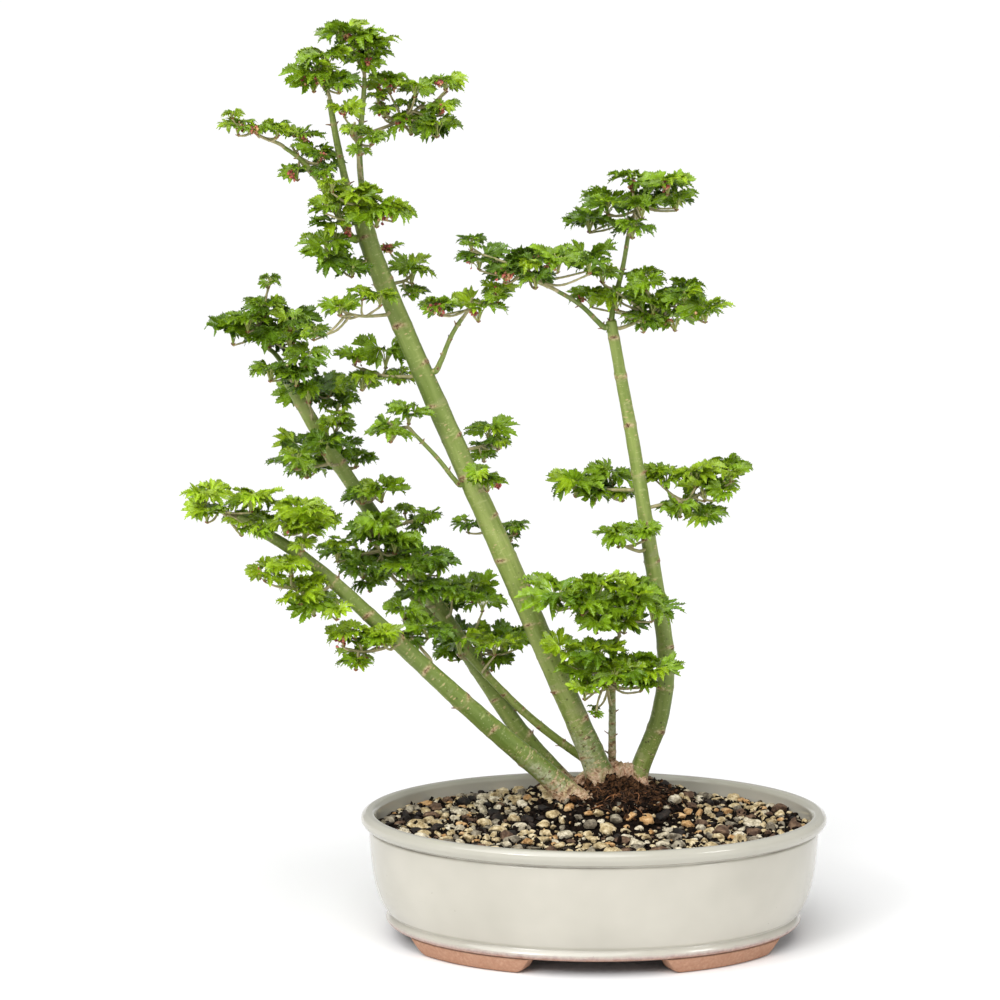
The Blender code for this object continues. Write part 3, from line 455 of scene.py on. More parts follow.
def fan(first, sides, heart, flip=False):
    """Triangles from the ring of points that starts at `first` to the point `heart`."""
    step = first + np.arange(sides)
    after = first + (np.arange(sides) + 1) % sides
    if flip:
        step, after = after, step
    return np.stack([step, after, np.full(sides, heart)], axis=1)


def ring_angles(sides):
    return np.arange(sides) * 2 * math.pi / sides


def ring_ways(across, side, angles):
    """Unit vectors from each point of a route to the ring round it."""
    turns = np.asarray(angles)[None, :, None]
    return across[:, None] * np.cos(turns) + side[:, None] * np.sin(turns)


def tube(route, radii, sides):
    """(points, faces) of a tapering tube, closed to a point at both ends."""
    route = np.asarray(route, float)
    along, across, side = frames_along(route)
    rims = ring_ways(across, side, ring_angles(sides))
    points = (route[:, None] + rims * np.asarray(radii, float)[:, None, None]).reshape(-1, 3)
    foot, tip = route[0] - along[0] * 0.3 * radii[0], route[-1] + along[-1] * 0.5 * radii[-1]
    points = np.vstack([points, foot, tip])
    low = fan(0, sides, len(points) - 2, flip=True)
    high = fan((len(route) - 1) * sides, sides, len(points) - 1)
    return points, [grid_faces(len(route), sides), np.vstack([low, high])]


def ball(steps):
    """(points, faces) of a ball of unit radius."""
    bm = bmesh.new()
    bmesh.ops.create_icosphere(bm, subdivisions=steps, radius=1.0)
    points = np.array([vertex.co for vertex in bm.verts])
    faces = np.array([[vertex.index for vertex in face.verts] for face in bm.faces])
    bm.free()
    return points, faces


def lumpy_ball(steps, dice, flat=0.3, rough=0.12):
    """(points, faces) of a rounded stone of unit radius with a few flat sides."""
    points, faces = ball(steps)
    offset = random_offset(dice, 50)
    for _ in range(FLAT_SIDES):
        way = np.array([dice.gauss(0, 1) for _ in range(3)])
        way /= np.linalg.norm(way)
        level = dice.uniform(1 - flat, 0.98)
        points -= np.maximum(0, points @ way - level)[:, None] * way * FLATTENING
    bumps = np.array([noise.noise(Vector(point) * BUMPS + offset) for point in points])
    return points * (1 + rough * bumps)[:, None], faces


def random_offset(dice, reach):
    return Vector([dice.uniform(-reach, reach) for _ in range(3)])


def turned(matrix, points):
    return points @ np.array(matrix.to_3x3()).T


def random_turn(dice):
    axis = Vector([dice.gauss(0, 1) for _ in range(3)]).normalized()
    return Matrix.Rotation(dice.uniform(0, 2 * math.pi), 3, axis)


# ---------------------------------------------------------------- materials

class Shader:
    """A node material: a Principled shader and a few helpers to wire patterns into it."""

    def __init__(self, name, colour, roughness, specular=0.5, **sockets):
        self.made = bpy.data.materials.new(name)
        self.made.use_nodes = True
        self.tree = self.made.node_tree
        self.shader = self.tree.nodes["Principled BSDF"]
        self.shader.inputs["Base Color"].default_value = (*colour, 1)
        self.shader.inputs["Roughness"].default_value = roughness
        self.shader.inputs["Specular IOR Level"].default_value = specular
        for socket, value in sockets.items():
            self.shader.inputs[socket.replace("_", " ")].default_value = value
        self.place = self.tree.nodes.new("ShaderNodeTexCoord").outputs["Object"]

    def link(self, output, socket):
        self.tree.links.new(output, socket)

    def attribute(self, name, output="Fac"):
        node = self.tree.nodes.new("ShaderNodeAttribute")
        node.attribute_name = name
        return node.outputs[output]

    def noise(self, scale, detail=3.0, rough=0.55, place=None):
        node = self.tree.nodes.new("ShaderNodeTexNoise")
        self.link(place or self.place, node.inputs["Vector"])
        node.inputs["Scale"].default_value = scale
        node.inputs["Detail"].default_value = detail
        node.inputs["Roughness"].default_value = rough
        return node.outputs["Fac"]

    def cells(self, scale, place=None):
        """How far each point lies from the middle of its cell."""
        node = self.tree.nodes.new("ShaderNodeTexVoronoi")
        self.link(place or self.place, node.inputs["Vector"])
        node.inputs["Scale"].default_value = scale
        return node.outputs["Distance"]

    def ramp(self, value, stops):
        """stops are (place, colour or level) pairs."""
        node = self.tree.nodes.new("ShaderNodeValToRGB")
        spots = node.color_ramp.elements
        while len(spots) < len(stops):
            spots.new(0.5)
        for spot, (place, level) in zip(spots, stops):
            spot.position = place
            spot.color = (*level, 1) if isinstance(level, tuple) else (level, level, level, 1)
        self.link(value, node.inputs["Fac"])
        return node.outputs["Color"]

    def mix(self, share, first, second):
        """share, first and second are outputs, colours or numbers."""
        node = self.tree.nodes.new("ShaderNodeMix")
        node.data_type = "RGBA"
        for socket, value in ((node.inputs[0], share), (node.inputs[6], first), (node.inputs[7], second)):
            if isinstance(value, tuple):
                socket.default_value = (*value, 1)
            elif isinstance(value, (int, float)):
                socket.default_value = value
            else:
                self.link(value, socket)
        return node.outputs[2]

    def coat(self, under, pattern, stops, colour):
        """The colour laid over what is under it, as thickly as the stops make of the pattern."""
        return self.mix(self.ramp(pattern, stops), under, colour)

    def math(self, operation, first, second=0.0):
        node = self.tree.nodes.new("ShaderNodeMath")
        node.operation = operation
        for socket, value in zip(node.inputs, (first, second)):
            if isinstance(value, (int, float)):
                socket.default_value = value
            else:
                self.link(value, socket)
        return node.outputs[0]

    def parts(self, vector):
        node = self.tree.nodes.new("ShaderNodeSeparateXYZ")
        self.link(vector, node.inputs[0])
        return node.outputs

    def height(self):
        """Height over the floor, in metres."""
        return self.parts(self.place)["Z"]

    def stretched(self, vector, factors):
        node = self.tree.nodes.new("ShaderNodeVectorMath")
        node.operation = "MULTIPLY"
        self.link(vector, node.inputs[0])
        node.inputs[1].default_value = factors
        return node.outputs["Vector"]

    def colour(self, output):
        self.link(output, self.shader.inputs["Base Color"])

    def roughness(self, output):
        self.link(output, self.shader.inputs["Roughness"])

    def bump(self, height, strength, distance):
        node = self.tree.nodes.new("ShaderNodeBump")
        node.inputs["Strength"].default_value = strength
        node.inputs["Distance"].default_value = distance
        self.link(height, node.inputs["Height"])
        self.link(node.outputs["Normal"], self.shader.inputs["Normal"])


def srgb(red, green, blue):
    """A colour as seen, 0 to 255, made linear."""
    return tuple(((c / 255 + 0.055) / 1.055)**2.4 if c > 10 else c / 3295 for c in (red, green, blue))


def toned(colour, times, more=0.0):
    return tuple(min(1.0, part * times + more) for part in colour)


def leaf_material(name, colour):
    """Crinkled leaf: the base colour is the tint, with faint paler veins and mottling."""
    leaf = Shader(name, colour, 0.3, specular=0.5)
    tones = [(0.36, toned(colour, 0.66)), (0.5, colour), (0.66, toned(colour, 1.5, 0.01))]
    patches = leaf.ramp(leaf.noise(110), tones)
    rib = leaf.parts(leaf.attribute("rib", "Vector"))
    midrib = leaf.ramp(leaf.math("ABSOLUTE", rib["X"]), [(0.05, 0.75), (0.16, 0.0)])
    side = leaf.ramp(leaf.math("FRACT", rib["Y"]), [(0.38, 0.0), (0.5, 0.32), (0.62, 0.0)])
    leaf.colour(leaf.mix(leaf.math("MAXIMUM", midrib, side), patches, toned(colour, 1.5, 0.05)))
    leaf.roughness(leaf.ramp(leaf.noise(500, 2), [(0.3, 0.2), (0.7, 0.36)]))
    leaf.bump(leaf.math("SUBTRACT", leaf.noise(900, 2), side), 0.45, 0.0005)
    return leaf.made


def plain_plant_material(name, low, high, roughness, scale=300):
    plant = Shader(name, low, roughness)
    plant.colour(plant.ramp(plant.noise(scale), [(0.35, low), (0.65, high)]))
    plant.bump(plant.noise(1500), 0.4, 0.0003)
    return plant.made


def weathered(bark, green, streaks, bands):
    """Broad darker patches, pale flecks and worn grey-tan bands."""
    broad, flecks, worn = (bark.noise(scale, detail, place=place)
                           for scale, detail, place in ((38, 4, streaks), (330, 3, bands), (95, 4, bands)))
    green = bark.coat(green, broad, [(0.42, 0.0), (0.62, 0.75)], srgb(88, 110, 40))
    green = bark.coat(green, flecks, [(0.6, 0.0), (0.72, 0.6)], srgb(176, 182, 118))
    return bark.coat(green, worn, [(0.58, 0.0), (0.7, 0.5)], srgb(160, 158, 112))


def crusted(bark, green, crust, streaks, bands):
    """Near the ground: patches of grey-white, tan and brown crust, and cracks in level bands."""
    patches = bark.ramp(bark.noise(60, place=streaks), [(0.46, 0.0), (0.6, 0.75)])
    frosted = bark.math("MULTIPLY", patches, bark.ramp(crust, [(0.42, 0.0), (0.56, 1.0)]))
    frost = bark.ramp(bark.noise(420), [(0.4, srgb(140, 146, 104)), (0.62, srgb(188, 190, 162))])
    green = bark.mix(frosted, green, frost)
    browns = [(0.38, srgb(84, 50, 36)), (0.45, srgb(170, 128, 98)), (0.58, srgb(220, 192, 162))]
    crusty = bark.ramp(bark.noise(420, 6, 0.75), browns)
    green = bark.coat(green, crust, [(0.64, 0.0), (0.72, 0.92)], crusty)
    near_ground = bark.ramp(crust, [(0.36, 0.0), (0.50, 1.0)])
    for scale, stops, colour in (
        (260, [(0.38, 0.95), (0.42, 0.0)], srgb(104, 76, 48)),
        (300, [(0.59, 0.0), (0.63, 0.85)], srgb(206, 184, 146)),
    ):
        cracks = bark.ramp(bark.noise(scale, 5, 0.75, place=bands), stops)
        green = bark.mix(bark.math("MULTIPLY", cracks, near_ground), green, colour)
    return green


def dotted(bark, green, age, bands):
    """Small pale pores all over, dark dots in patches of old bark, and short tan dashes across."""
    green = bark.coat(green, bark.cells(420), [(0.1, 0.55), (0.17, 0.0)], srgb(194, 192, 142))
    some = bark.math("MULTIPLY", age, bark.ramp(bark.noise(90, 2), [(0.44, 0.0), (0.52, 1.0)]))
    dots = bark.math("MULTIPLY", bark.ramp(bark.cells(240), [(0.13, 0.9), (0.22, 0.0)]), some)
    green = bark.mix(dots, green, srgb(58, 44, 26))
    dashes = bark.ramp(bark.cells(300, place=bands), [(0.15, 0.85), (0.24, 0.0)])
    patchy = bark.ramp(bark.noise(70), [(0.46, 0.0), (0.54, 1.0)])
    return bark.mix(bark.math("MULTIPLY", dashes, patchy), green, srgb(186, 168, 118))


def ringed(bark, green):
    """Tan rings and brown scars where old buds sat."""
    tans = [(0.36, srgb(104, 74, 46)), (0.46, srgb(176, 150, 106)), (0.64, srgb(216, 200, 158))]
    browns = [(0.38, srgb(56, 32, 20)), (0.54, srgb(112, 72, 44)), (0.66, srgb(196, 166, 122))]
    ring = bark.mix(bark.attribute("ring"), green, bark.ramp(bark.noise(620), tans))
    return bark.mix(bark.attribute("scar"), ring, bark.ramp(bark.noise(800), browns))


def bark_material():
    """Smooth green bark, darker and greyer with age, scarred at the nodes and crusted near the ground."""
    bark = Shader("bark_green", srgb(132, 148, 70), 0.5, specular=0.35)
    streaks = bark.attribute("streak", "Vector")
    bands = bark.stretched(streaks, (0.55, 0.55, 11.0))
    age = bark.attribute("age")
    fine = bark.noise(260, 4, place=streaks)
    young = bark.ramp(fine, [(0.3, srgb(124, 142, 60)), (0.7, srgb(162, 174, 98))])
    old = bark.ramp(fine, [(0.28, srgb(90, 108, 40)), (0.5, srgb(122, 138, 62)), (0.74, srgb(156, 166, 98))])
    broken = bark.math("MULTIPLY", bark.noise(150, 5, 0.75, place=bands), 0.9)
    crust = bark.math("MULTIPLY", bark.math("ADD", bark.attribute("crust"), broken), 0.6)
    green = weathered(bark, bark.mix(age, young, old), streaks, bands)
    green = crusted(bark, green, crust, streaks, bands)
    bark.colour(ringed(bark, dotted(bark, green, age, bands)))
    bark.bump(bark.math("ADD", bark.noise(900, place=streaks), crust), 0.4, 0.0005)
    bark.roughness(bark.ramp(fine, [(0.3, 0.4), (0.7, 0.6)]))
    return bark.made


def glaze_material():
    """Cream glaze, greyer where thin, painted shade on the rim, in grooves and under the pot, a lilac lower
    edge.
    """
    cream = srgb(187, 182, 170)
    glaze = Shader("glaze_cream", cream, 0.16, specular=0.55, Coat_Weight=0.35, Coat_Roughness=0.06)
    cloud = glaze.ramp(glaze.noise(14), [(0.36, srgb(180, 176, 164)), (0.64, srgb(191, 187, 175))])
    # edge: greyer thin glaze at the inner rim edge, and painted shade over the whole roll of the rim.
    body = glaze.mix(glaze.attribute("edge"), cloud, srgb(172, 170, 157))
    flecked = glaze.ramp(glaze.noise(22), [(0.42, 0.15), (0.62, 1.0)])
    # Painted shade: a broken dark line in the groove under the rim and under the inner lip.
    body = glaze.mix(glaze.math("MULTIPLY", glaze.attribute("line"), flecked), body, srgb(112, 108, 96))
    body = glaze.coat(body, glaze.cells(105), [(0.022, 0.8), (0.035, 0.0)], srgb(110, 96, 78))
    # The glaze stops in an uneven line near the bottom.
    wander = glaze.math("MULTIPLY", glaze.noise(150, 4), 0.0022)
    level = glaze.math("ADD", glaze.height(), wander)
    tint = glaze.ramp(glaze.noise(500), [(0.4, srgb(128, 124, 148)), (0.6, srgb(186, 182, 186))])
    body = glaze.coat(body, level, [(0.0, 1.0), (0.0138, 1.0), (0.0150, 0.0)], tint)
    bare = glaze.ramp(level, [(0.0, 1.0), (0.0121, 1.0), (0.0127, 0.0)])
    clay = glaze.ramp(glaze.noise(300, 4), [(0.3, srgb(150, 104, 82)), (0.7, srgb(182, 138, 112))])
    # Painted shade: under the pot the colour is dark brown (under), not the bare clay.
    glaze.colour(glaze.mix(glaze.attribute("under"), glaze.mix(bare, body, clay), srgb(84, 62, 52)))
    gloss = glaze.ramp(glaze.noise(60, 2), [(0.3, 0.12), (0.7, 0.2)])
    glaze.roughness(glaze.mix(bare, gloss, (0.85, 0.85, 0.85)))
    glaze.bump(glaze.noise(35, 2), 0.12, 0.0006)
    return glaze.made


def clay_material():
    clay = Shader("bare_clay", srgb(178, 138, 114), 0.85, specular=0.25)
    tones = [(0.3, srgb(166, 122, 98)), (0.55, srgb(178, 138, 114)), (0.75, srgb(190, 152, 128))]
    grain = clay.ramp(clay.noise(500, 5), tones)
    clay.colour(clay.coat(grain, clay.noise(60), [(0.35, 0.0), (0.7, 0.4)], srgb(164, 120, 96)))
    clay.bump(clay.noise(1400, 4), 0.5, 0.0004)
    return clay.made


def stone_material(name, low, middle, high):
    stone = Shader(name, middle, 0.7, specular=0.4)
    body = stone.ramp(stone.noise(240, 5, 0.7), [(0.34, low), (0.48, middle), (0.62, high)])
    stone.colour(stone.coat(body, stone.cells(900), [(0.12, 0.5), (0.22, 0.0)], toned(low, 0.35)))
    stone.bump(stone.noise(700, 5, 0.7), 1.0, 0.0008)
    return stone.made


def soil_material(name, low, high):
    soil = Shader(name, low, 0.9, specular=0.12)
    soil.colour(soil.ramp(soil.noise(420, 5, 0.7), [(0.42, low), (0.68, high)]))
    soil.bump(soil.noise(1200, 4), 0.9, 0.001)
    return soil.made


# ---------------------------------------------------------------- pot

def oval(radius, z, steps):
    """A ring of points on the pot's oval."""
    angle = ring_angles(steps)
    return np.stack([radius * np.cos(angle), radius * POT_ASPECT * np.sin(angle), np.full(steps, z)], axis=1)


def round_corners(profile, reach, steps=4):
    """The profile with each inner corner cut into a short smooth bend."""
    points = [np.array(point, float) for point in profile]
    out = [points[0]]
    for before, corner, after in zip(points, points[1:], points[2:]):
        back, on = before - corner, after - corner
        near = min(reach, 0.45 * np.linalg.norm(back), 0.45 * np.linalg.norm(on))
        first = corner + back / np.linalg.norm(back) * near
        last = corner + on / np.linalg.norm(on) * near
        for t in (i / steps for i in range(steps + 1)):
            out.append((1 - t)**2 * first + 2 * t * (1 - t) * corner + t**2 * last)
    return out + [points[-1]]


POT_FLOOR, POT_SIDES, WALL_ROWS = 17.0, 320, 15
# The outside of the rim and the groove under it: radius, and height over the rim's top.
RIM_STEPS = (
    (RIM_RADIUS - 3.8, 0.0),
    (RIM_RADIUS - 0.6, -2.2),
    (RIM_RADIUS, -5.2),
    (RIM_RADIUS - 2.2, -8.6),
    (WALL_RADIUS - 0.7, -9.7),
    (WALL_RADIUS - 1.4, -10.6),
    (WALL_RADIUS - 0.2, -11.6),
)
# The moulded band: steps out from its radius and up from the wall's foot.
BAND_STEPS = ((-3.1, 1.2), (-1.4, -0.4), (-0.2, -2.2), (0.0, -3.4))
# How far over its foot the wall ends and the band starts.
WALL_LIP = 3.6


def pot_profile(bottom):
    """(radius, height) from the inner floor over the rim, down the wall and in under the pot."""
    inner = [(118, POT_FLOOR), (126, POT_FLOOR + 0.6)]
    inner += [(wall_radius(z) - WALL_THICKNESS, z) for z in (24, 36, 52, WALL_TOP)]
    rim = [(RIM_INNER - 0.7, WALL_TOP + 3), (RIM_INNER, RIM_TOP - 2.6), (RIM_INNER + 2.2, RIM_TOP)]
    rim += [(radius, RIM_TOP + rise) for radius, rise in RIM_STEPS]
    drop = WALL_FOOT + WALL_LIP - WALL_TOP
    heights = [WALL_TOP + drop * math.sin(0.5 * math.pi * i / WALL_ROWS) for i in range(1, WALL_ROWS + 1)]
    wall = [(wall_radius(z), z) for z in heights]
    band = [(BAND_RADIUS + out, WALL_FOOT + rise) for out, rise in BAND_STEPS]
    band += [(BAND_RADIUS - 0.6, bottom + 1.6), (BAND_RADIUS - 2.2, bottom)]
    band += [(BAND_RADIUS - 20, bottom), (30, bottom)]
    return round_corners(inner + rim + wall, 1.1)[:-1] + round_corners([wall[-1]] + band, 1.6)


def bump_at(value, middle, width):
    return np.exp(-((value - middle) / width)**2)


def glaze_marks(points):
    """Painted shade in the grooves (line), on the rim (edge, with thin glaze) and under the pot (under)."""
    z = points[:, 2]
    radius = np.hypot(points[:, 0], points[:, 1] / POT_ASPECT)
    # Painted shade: a dark line in the groove under the rim, and one on the inner wall under the lip.
    line = 0.8 * bump_at(z, RIM_TOP - 10.7, 0.5) * (radius > RIM_INNER)
    line += 0.7 * bump_at(z, RIM_TOP - 4.6, 0.6) * (radius < RIM_INNER + 0.2)
    edge = 0.7 * bump_at(radius, RIM_INNER + 0.8, 1.2) * (z > RIM_TOP - 4)
    # Painted shade: the rim's upward-facing roll is darkened as if it caught less light.
    edge += 0.5 * (radius > RIM_INNER + 1) * (z > RIM_TOP - 9.5)
    # Painted shade: the underside between the feet, where shadow falls.
    under = (z < WALL_FOOT - 5) * (radius < BAND_RADIUS - 1.6)
    return {"line": np.clip(line, 0, 1), "edge": np.clip(edge, 0, 1), "under": under}


def make_pot():
    bottom = FOOT_HEIGHT + GAP
    profile = pot_profile(bottom)
    points = np.concatenate([oval(radius, z, POT_SIDES) for radius, z in profile])
    heart = len(points)
    points = np.vstack([points, (0, 0, POT_FLOOR), (0, 0, bottom)])
    floor = fan(0, POT_SIDES, heart)
    base = fan((len(profile) - 1) * POT_SIDES, POT_SIDES, heart + 1, flip=True)
    pot = Batch("pot_glazed")
    wall = grid_faces(len(profile), POT_SIDES)[:, ::-1]
    pot.add(points, [wall, np.vstack([floor, base])], **glaze_marks(points))
    dress(pot.build(glaze_material(), SMOOTH), "glaze", "pot")


FOOT_MIDDLES = {
    "front_right": 180 - FOOT_MIDDLE_DEG,
    "front_left": 180 + FOOT_MIDDLE_DEG,
    "back_right": FOOT_MIDDLE_DEG,
    "back_left": -FOOT_MIDDLE_DEG,
}
FOOT_CUTS, FOOT_SIDES, FOOT_BOXINESS, FOOT_END = 48, 24, 0.28, 0.86


def boxy(level):
    return math.copysign(abs(level)**FOOT_BOXINESS, level)


def foot_ring(middle_deg, along):
    """The foot's section at `along`, from -1 to 1; its ends curve up into the pot's underside."""
    end = max(0.0, (abs(along) - FOOT_END) / (1 - FOOT_END))
    lift = 0.96 * FOOT_HEIGHT * (1 - math.sqrt(max(0.0, 1 - min(1.0, end)**2)))
    for k in range(FOOT_SIDES):
        turn = 2 * math.pi * k / FOOT_SIDES
        z = lift + (FOOT_HEIGHT + 0.2 - lift) * 0.5 * (boxy(math.sin(turn)) + 1)
        rise = z / FOOT_HEIGHT
        angle = math.radians(middle_deg + 0.5 * along * (FOOT_SPAN_DEG + FOOT_FLARE_DEG * rise))
        outer = FOOT_OUTER_BOTTOM + (FOOT_OUTER_TOP - FOOT_OUTER_BOTTOM) * rise
        radius = outer - FOOT_WIDTH * 0.5 * (1 - boxy(math.cos(turn)))
        yield radius * math.sin(angle), radius * POT_ASPECT * math.cos(angle), z


def make_feet():
    """Four low feet bent round the oval."""
    finish = clay_material()
    for name, middle_deg in FOOT_MIDDLES.items():
        points = np.array([spot for i in range(FOOT_CUTS + 1)
                           for spot in foot_ring(middle_deg, 2 * i / FOOT_CUTS - 1)])
        heart = len(points)
        ends = [points[:FOOT_SIDES].mean(0), points[-FOOT_SIDES:].mean(0)]
        caps = [fan(0, FOOT_SIDES, heart, flip=True), fan(FOOT_CUTS * FOOT_SIDES, FOOT_SIDES, heart + 1)]
        foot = Batch("foot_clay_" + name)
        foot.add(np.vstack([points, *ends]), [grid_faces(FOOT_CUTS + 1, FOOT_SIDES), np.vstack(caps)])
        dress(foot.build(finish, 50), "terracotta", "foot_" + name)


# ---------------------------------------------------------------- soil and gravel

SOIL_REACH = wall_radius(SOIL_EDGE) - WALL_THICKNESS - SOIL_CLEARANCE
BED_RINGS, BED_SIDES, BED_DEPTH, BED_FOOT = 70, 200, 1.6, 66
DARK_EARTH = srgb(10, 7, 5)


def rough_at(x, y, scale, layer):
    return noise.noise(Vector((x * scale, y * scale, layer)))


def heap(name, rings, sides, middle, material):
    """A piece of earth from rings of points and the point in their middle."""
    points = np.vstack([np.array(rings).reshape(-1, 3), middle])
    piece = Batch(name)
    piece.add(points, [grid_faces(len(rings), sides)[:, ::-1], fan(0, sides, len(points) - 1)])
    return piece.build(material, SMOOTH)


def make_soil_bed():
    rings = []
    for ring in range(BED_RINGS):
        row = oval(SOIL_REACH * (ring + 1) / BED_RINGS, 0, BED_SIDES)
        for point in row:
            x, y = point[:2]
            lumps, grains = 1.1 * rough_at(x, y, 0.28, 3), 0.6 * rough_at(x, y, 0.9, 9)
            point[2] = ground_height(x, y) - BED_DEPTH + lumps + grains
        rings.append(row)
    rings.append(oval(SOIL_REACH, BED_FOOT, BED_SIDES))
    middle = (0, 0, ground_height(0, 0) - BED_DEPTH)
    dark = soil_material("soil_dark", DARK_EARTH, srgb(38, 27, 19))
    dress(heap("soil_bed", rings, BED_SIDES, middle, dark), "soil", "soil")


# Kinds of stone: name, share of all stones, and the colours of its grain.
STONES = (
    ("cream", 0.33, (srgb(118, 98, 66), srgb(188, 166, 122), srgb(236, 220, 182))),
    ("pale", 0.20, (srgb(122, 112, 90), srgb(194, 182, 154), srgb(240, 230, 206))),
    ("grey", 0.15, (srgb(74, 67, 56), srgb(128, 118, 100), srgb(178, 168, 146))),
    ("tan", 0.10, (srgb(132, 92, 52), srgb(190, 146, 92), srgb(224, 190, 142))),
    ("brown", 0.09, (srgb(58, 40, 30), srgb(94, 70, 52), srgb(132, 106, 82))),
    ("dark", 0.13, (srgb(12, 9, 7), srgb(26, 20, 16), srgb(56, 44, 36))),
)
STONE_COUNT, STONE_TRIES, STONE_LARGEST, STONE_FINE = 2900, 10, 5.6, 2.4
STONE_SHAPES, STONE_CELL, STONE_SINK, STONE_OVERLAP = 20, 11.0, 1.3, 0.93
# No stone lies where the root crown's share is under the first, and few where it is under the second.
ROOTS_CLEAR, ROOTS_THIN, THINNED = 0.8, 1.0, 0.75
# Where the noise of the ground is over the first, this share of the stones is left out.
BARE_PATCH, BARED = 0.16, 0.62
THROW_X, THROW_Y = 141, 110
ROOT_CENTRE = Vector((17, 24))
ROOT_REACH, ROOT_HEIGHT, ROOT_STRETCH = 37.0, 4.5, 1.1


def on_soil(x, y, margin):
    edge = SOIL_REACH - margin
    return (x / edge)**2 + (y / (edge * POT_ASPECT - 0.2 * margin))**2 < 1


def root_share(x, y):
    """0 at the middle of the crown of roots and 1 at its ragged edge."""
    ragged = 0.28 * rough_at(x, y, 0.09, 7)
    return math.hypot((x - ROOT_CENTRE.x) / ROOT_STRETCH, y - ROOT_CENTRE.y) / ROOT_REACH + ragged


def root_spot(angle, away):
    """The place at this bearing and distance from the middle of the crown of roots."""
    return ROOT_CENTRE.x + ROOT_STRETCH * away * math.cos(angle), ROOT_CENTRE.y + away * math.sin(angle)


def root_height(x, y):
    return ground_height(x, y) + ROOT_HEIGHT * math.exp(-(root_share(x, y) / 0.75)**2)


def thrown(dice):
    return dice.uniform(-THROW_X, THROW_X), dice.uniform(-THROW_Y, THROW_Y)


def left_bare(x, y, radius, stems, dice):
    """True where no stone this large lies: off the soil, among the roots, at a stem or in a bare patch."""
    if not on_soil(x, y, radius * 0.8):
        return True
    share = root_share(x, y)
    if share < ROOTS_CLEAR or (share < ROOTS_THIN and dice.random() < THINNED):
        return True
    if rough_at(x, y, 0.06, 2) > BARE_PATCH and dice.random() < BARED:
        return True
    return any((Vector((x, y)) - stem).length < clear + radius * 0.7 for stem, clear in stems)


def find_room(radius, taken, stems, dice):
    """A place for a stone, clear of those before it, or None after a few tries; `taken` notes it."""
    for _ in range(STONE_TRIES):
        x, y = thrown(dice)
        if left_bare(x, y, radius, stems, dice):
            continue
        column, row = int(x // STONE_CELL), int(y // STONE_CELL)
        cells = [(column + i, row + j) for i in (-1, 0, 1) for j in (-1, 0, 1)]
        near = [other for cell in cells for other in taken.get(cell, ())]
        if all(math.hypot(x - a, y - b) > STONE_OVERLAP * (radius + r) for a, b, r in near):
            taken.setdefault((column, row), []).append((x, y, radius))
            return x, y
    return None


def make_gravel(stems):
    """Stones thrown one by one on to the soil, large ones first."""
    dice = random.Random(41)
    shapes = {steps: [lumpy_ball(steps, dice, 0.62, 0.26) for _ in range(STONE_SHAPES)] for steps in (2, 3)}
    batches = {name: Batch("gravel_" + name) for name, _, _ in STONES}
    shares = [share for _, share, _ in STONES]
    taken = {}
    sizes = [min(STONE_LARGEST, 0.8 + dice.gammavariate(1.7, 0.8)) for _ in range(STONE_COUNT)]
    for radius in sorted(sizes, reverse=True):
        place = find_room(radius, taken, stems, dice)
        if place is None:
            continue
        points, faces = dice.choice(shapes[3 if radius > STONE_FINE else 2])
        shape = np.array([1.15, dice.uniform(0.68, 1.0), dice.uniform(0.5, 0.85)])
        points = turned(random_turn(dice), points) * shape
        tilt = Matrix.Rotation(dice.uniform(-0.6, 0.6), 3, "X")
        points = turned(tilt @ Matrix.Rotation(dice.uniform(0, ANY_TURN), 3, "Z"), points) * radius
        z = ground_height(*place) - STONE_SINK + radius * dice.uniform(0.05, 0.4)
        batches[dice.choices(list(batches), shares)[0]].add(points + np.array([*place, z]), faces)
    for name, _, colours in STONES:
        dress(batches[name].build(stone_material("stone_" + name, *colours), 38), "soil")


CRUMB_COUNT, CRUMB_SHAPE = 5400, np.array([1.4, 0.75, 0.5])
CRUMB_SINK, FINE_SHARE = 1.4, 0.8
CLOD_COUNT, CLOD_SHAPE, CLOD_SINK = 420, np.array([1.3, 0.8, 0.6]), 0.4


def make_crumbs():
    """Crumbs of dark bark and peat between the stones, and slivers that lie on them."""
    dice = random.Random(52)
    shapes = [lumpy_ball(steps, dice, 0.5, 0.5) for steps in [1] * 8 + [2] * 3]
    crumbs = Batch("soil_crumbs")
    placed = 0
    while placed < CRUMB_COUNT:
        x, y = thrown(dice)
        if not on_soil(x, y, 1.0):
            continue
        placed += 1
        points, faces = dice.choice(shapes)
        radius = dice.uniform(0.5, 1.6) if dice.random() < FINE_SHARE else dice.uniform(1.6, 3.2)
        points = turned(random_turn(dice), points * CRUMB_SHAPE) * radius
        level = root_height(x, y) - CRUMB_SINK + dice.uniform(0.0, 1.3)
        crumbs.add(points + np.array([x, y, level]), faces)
    dress(crumbs.build(soil_material("crumb_dark", DARK_EARTH, srgb(44, 30, 21)), 40), "soil")


MAT_RINGS, MAT_SIDES, MAT_SINK = 46, 130, 1.0


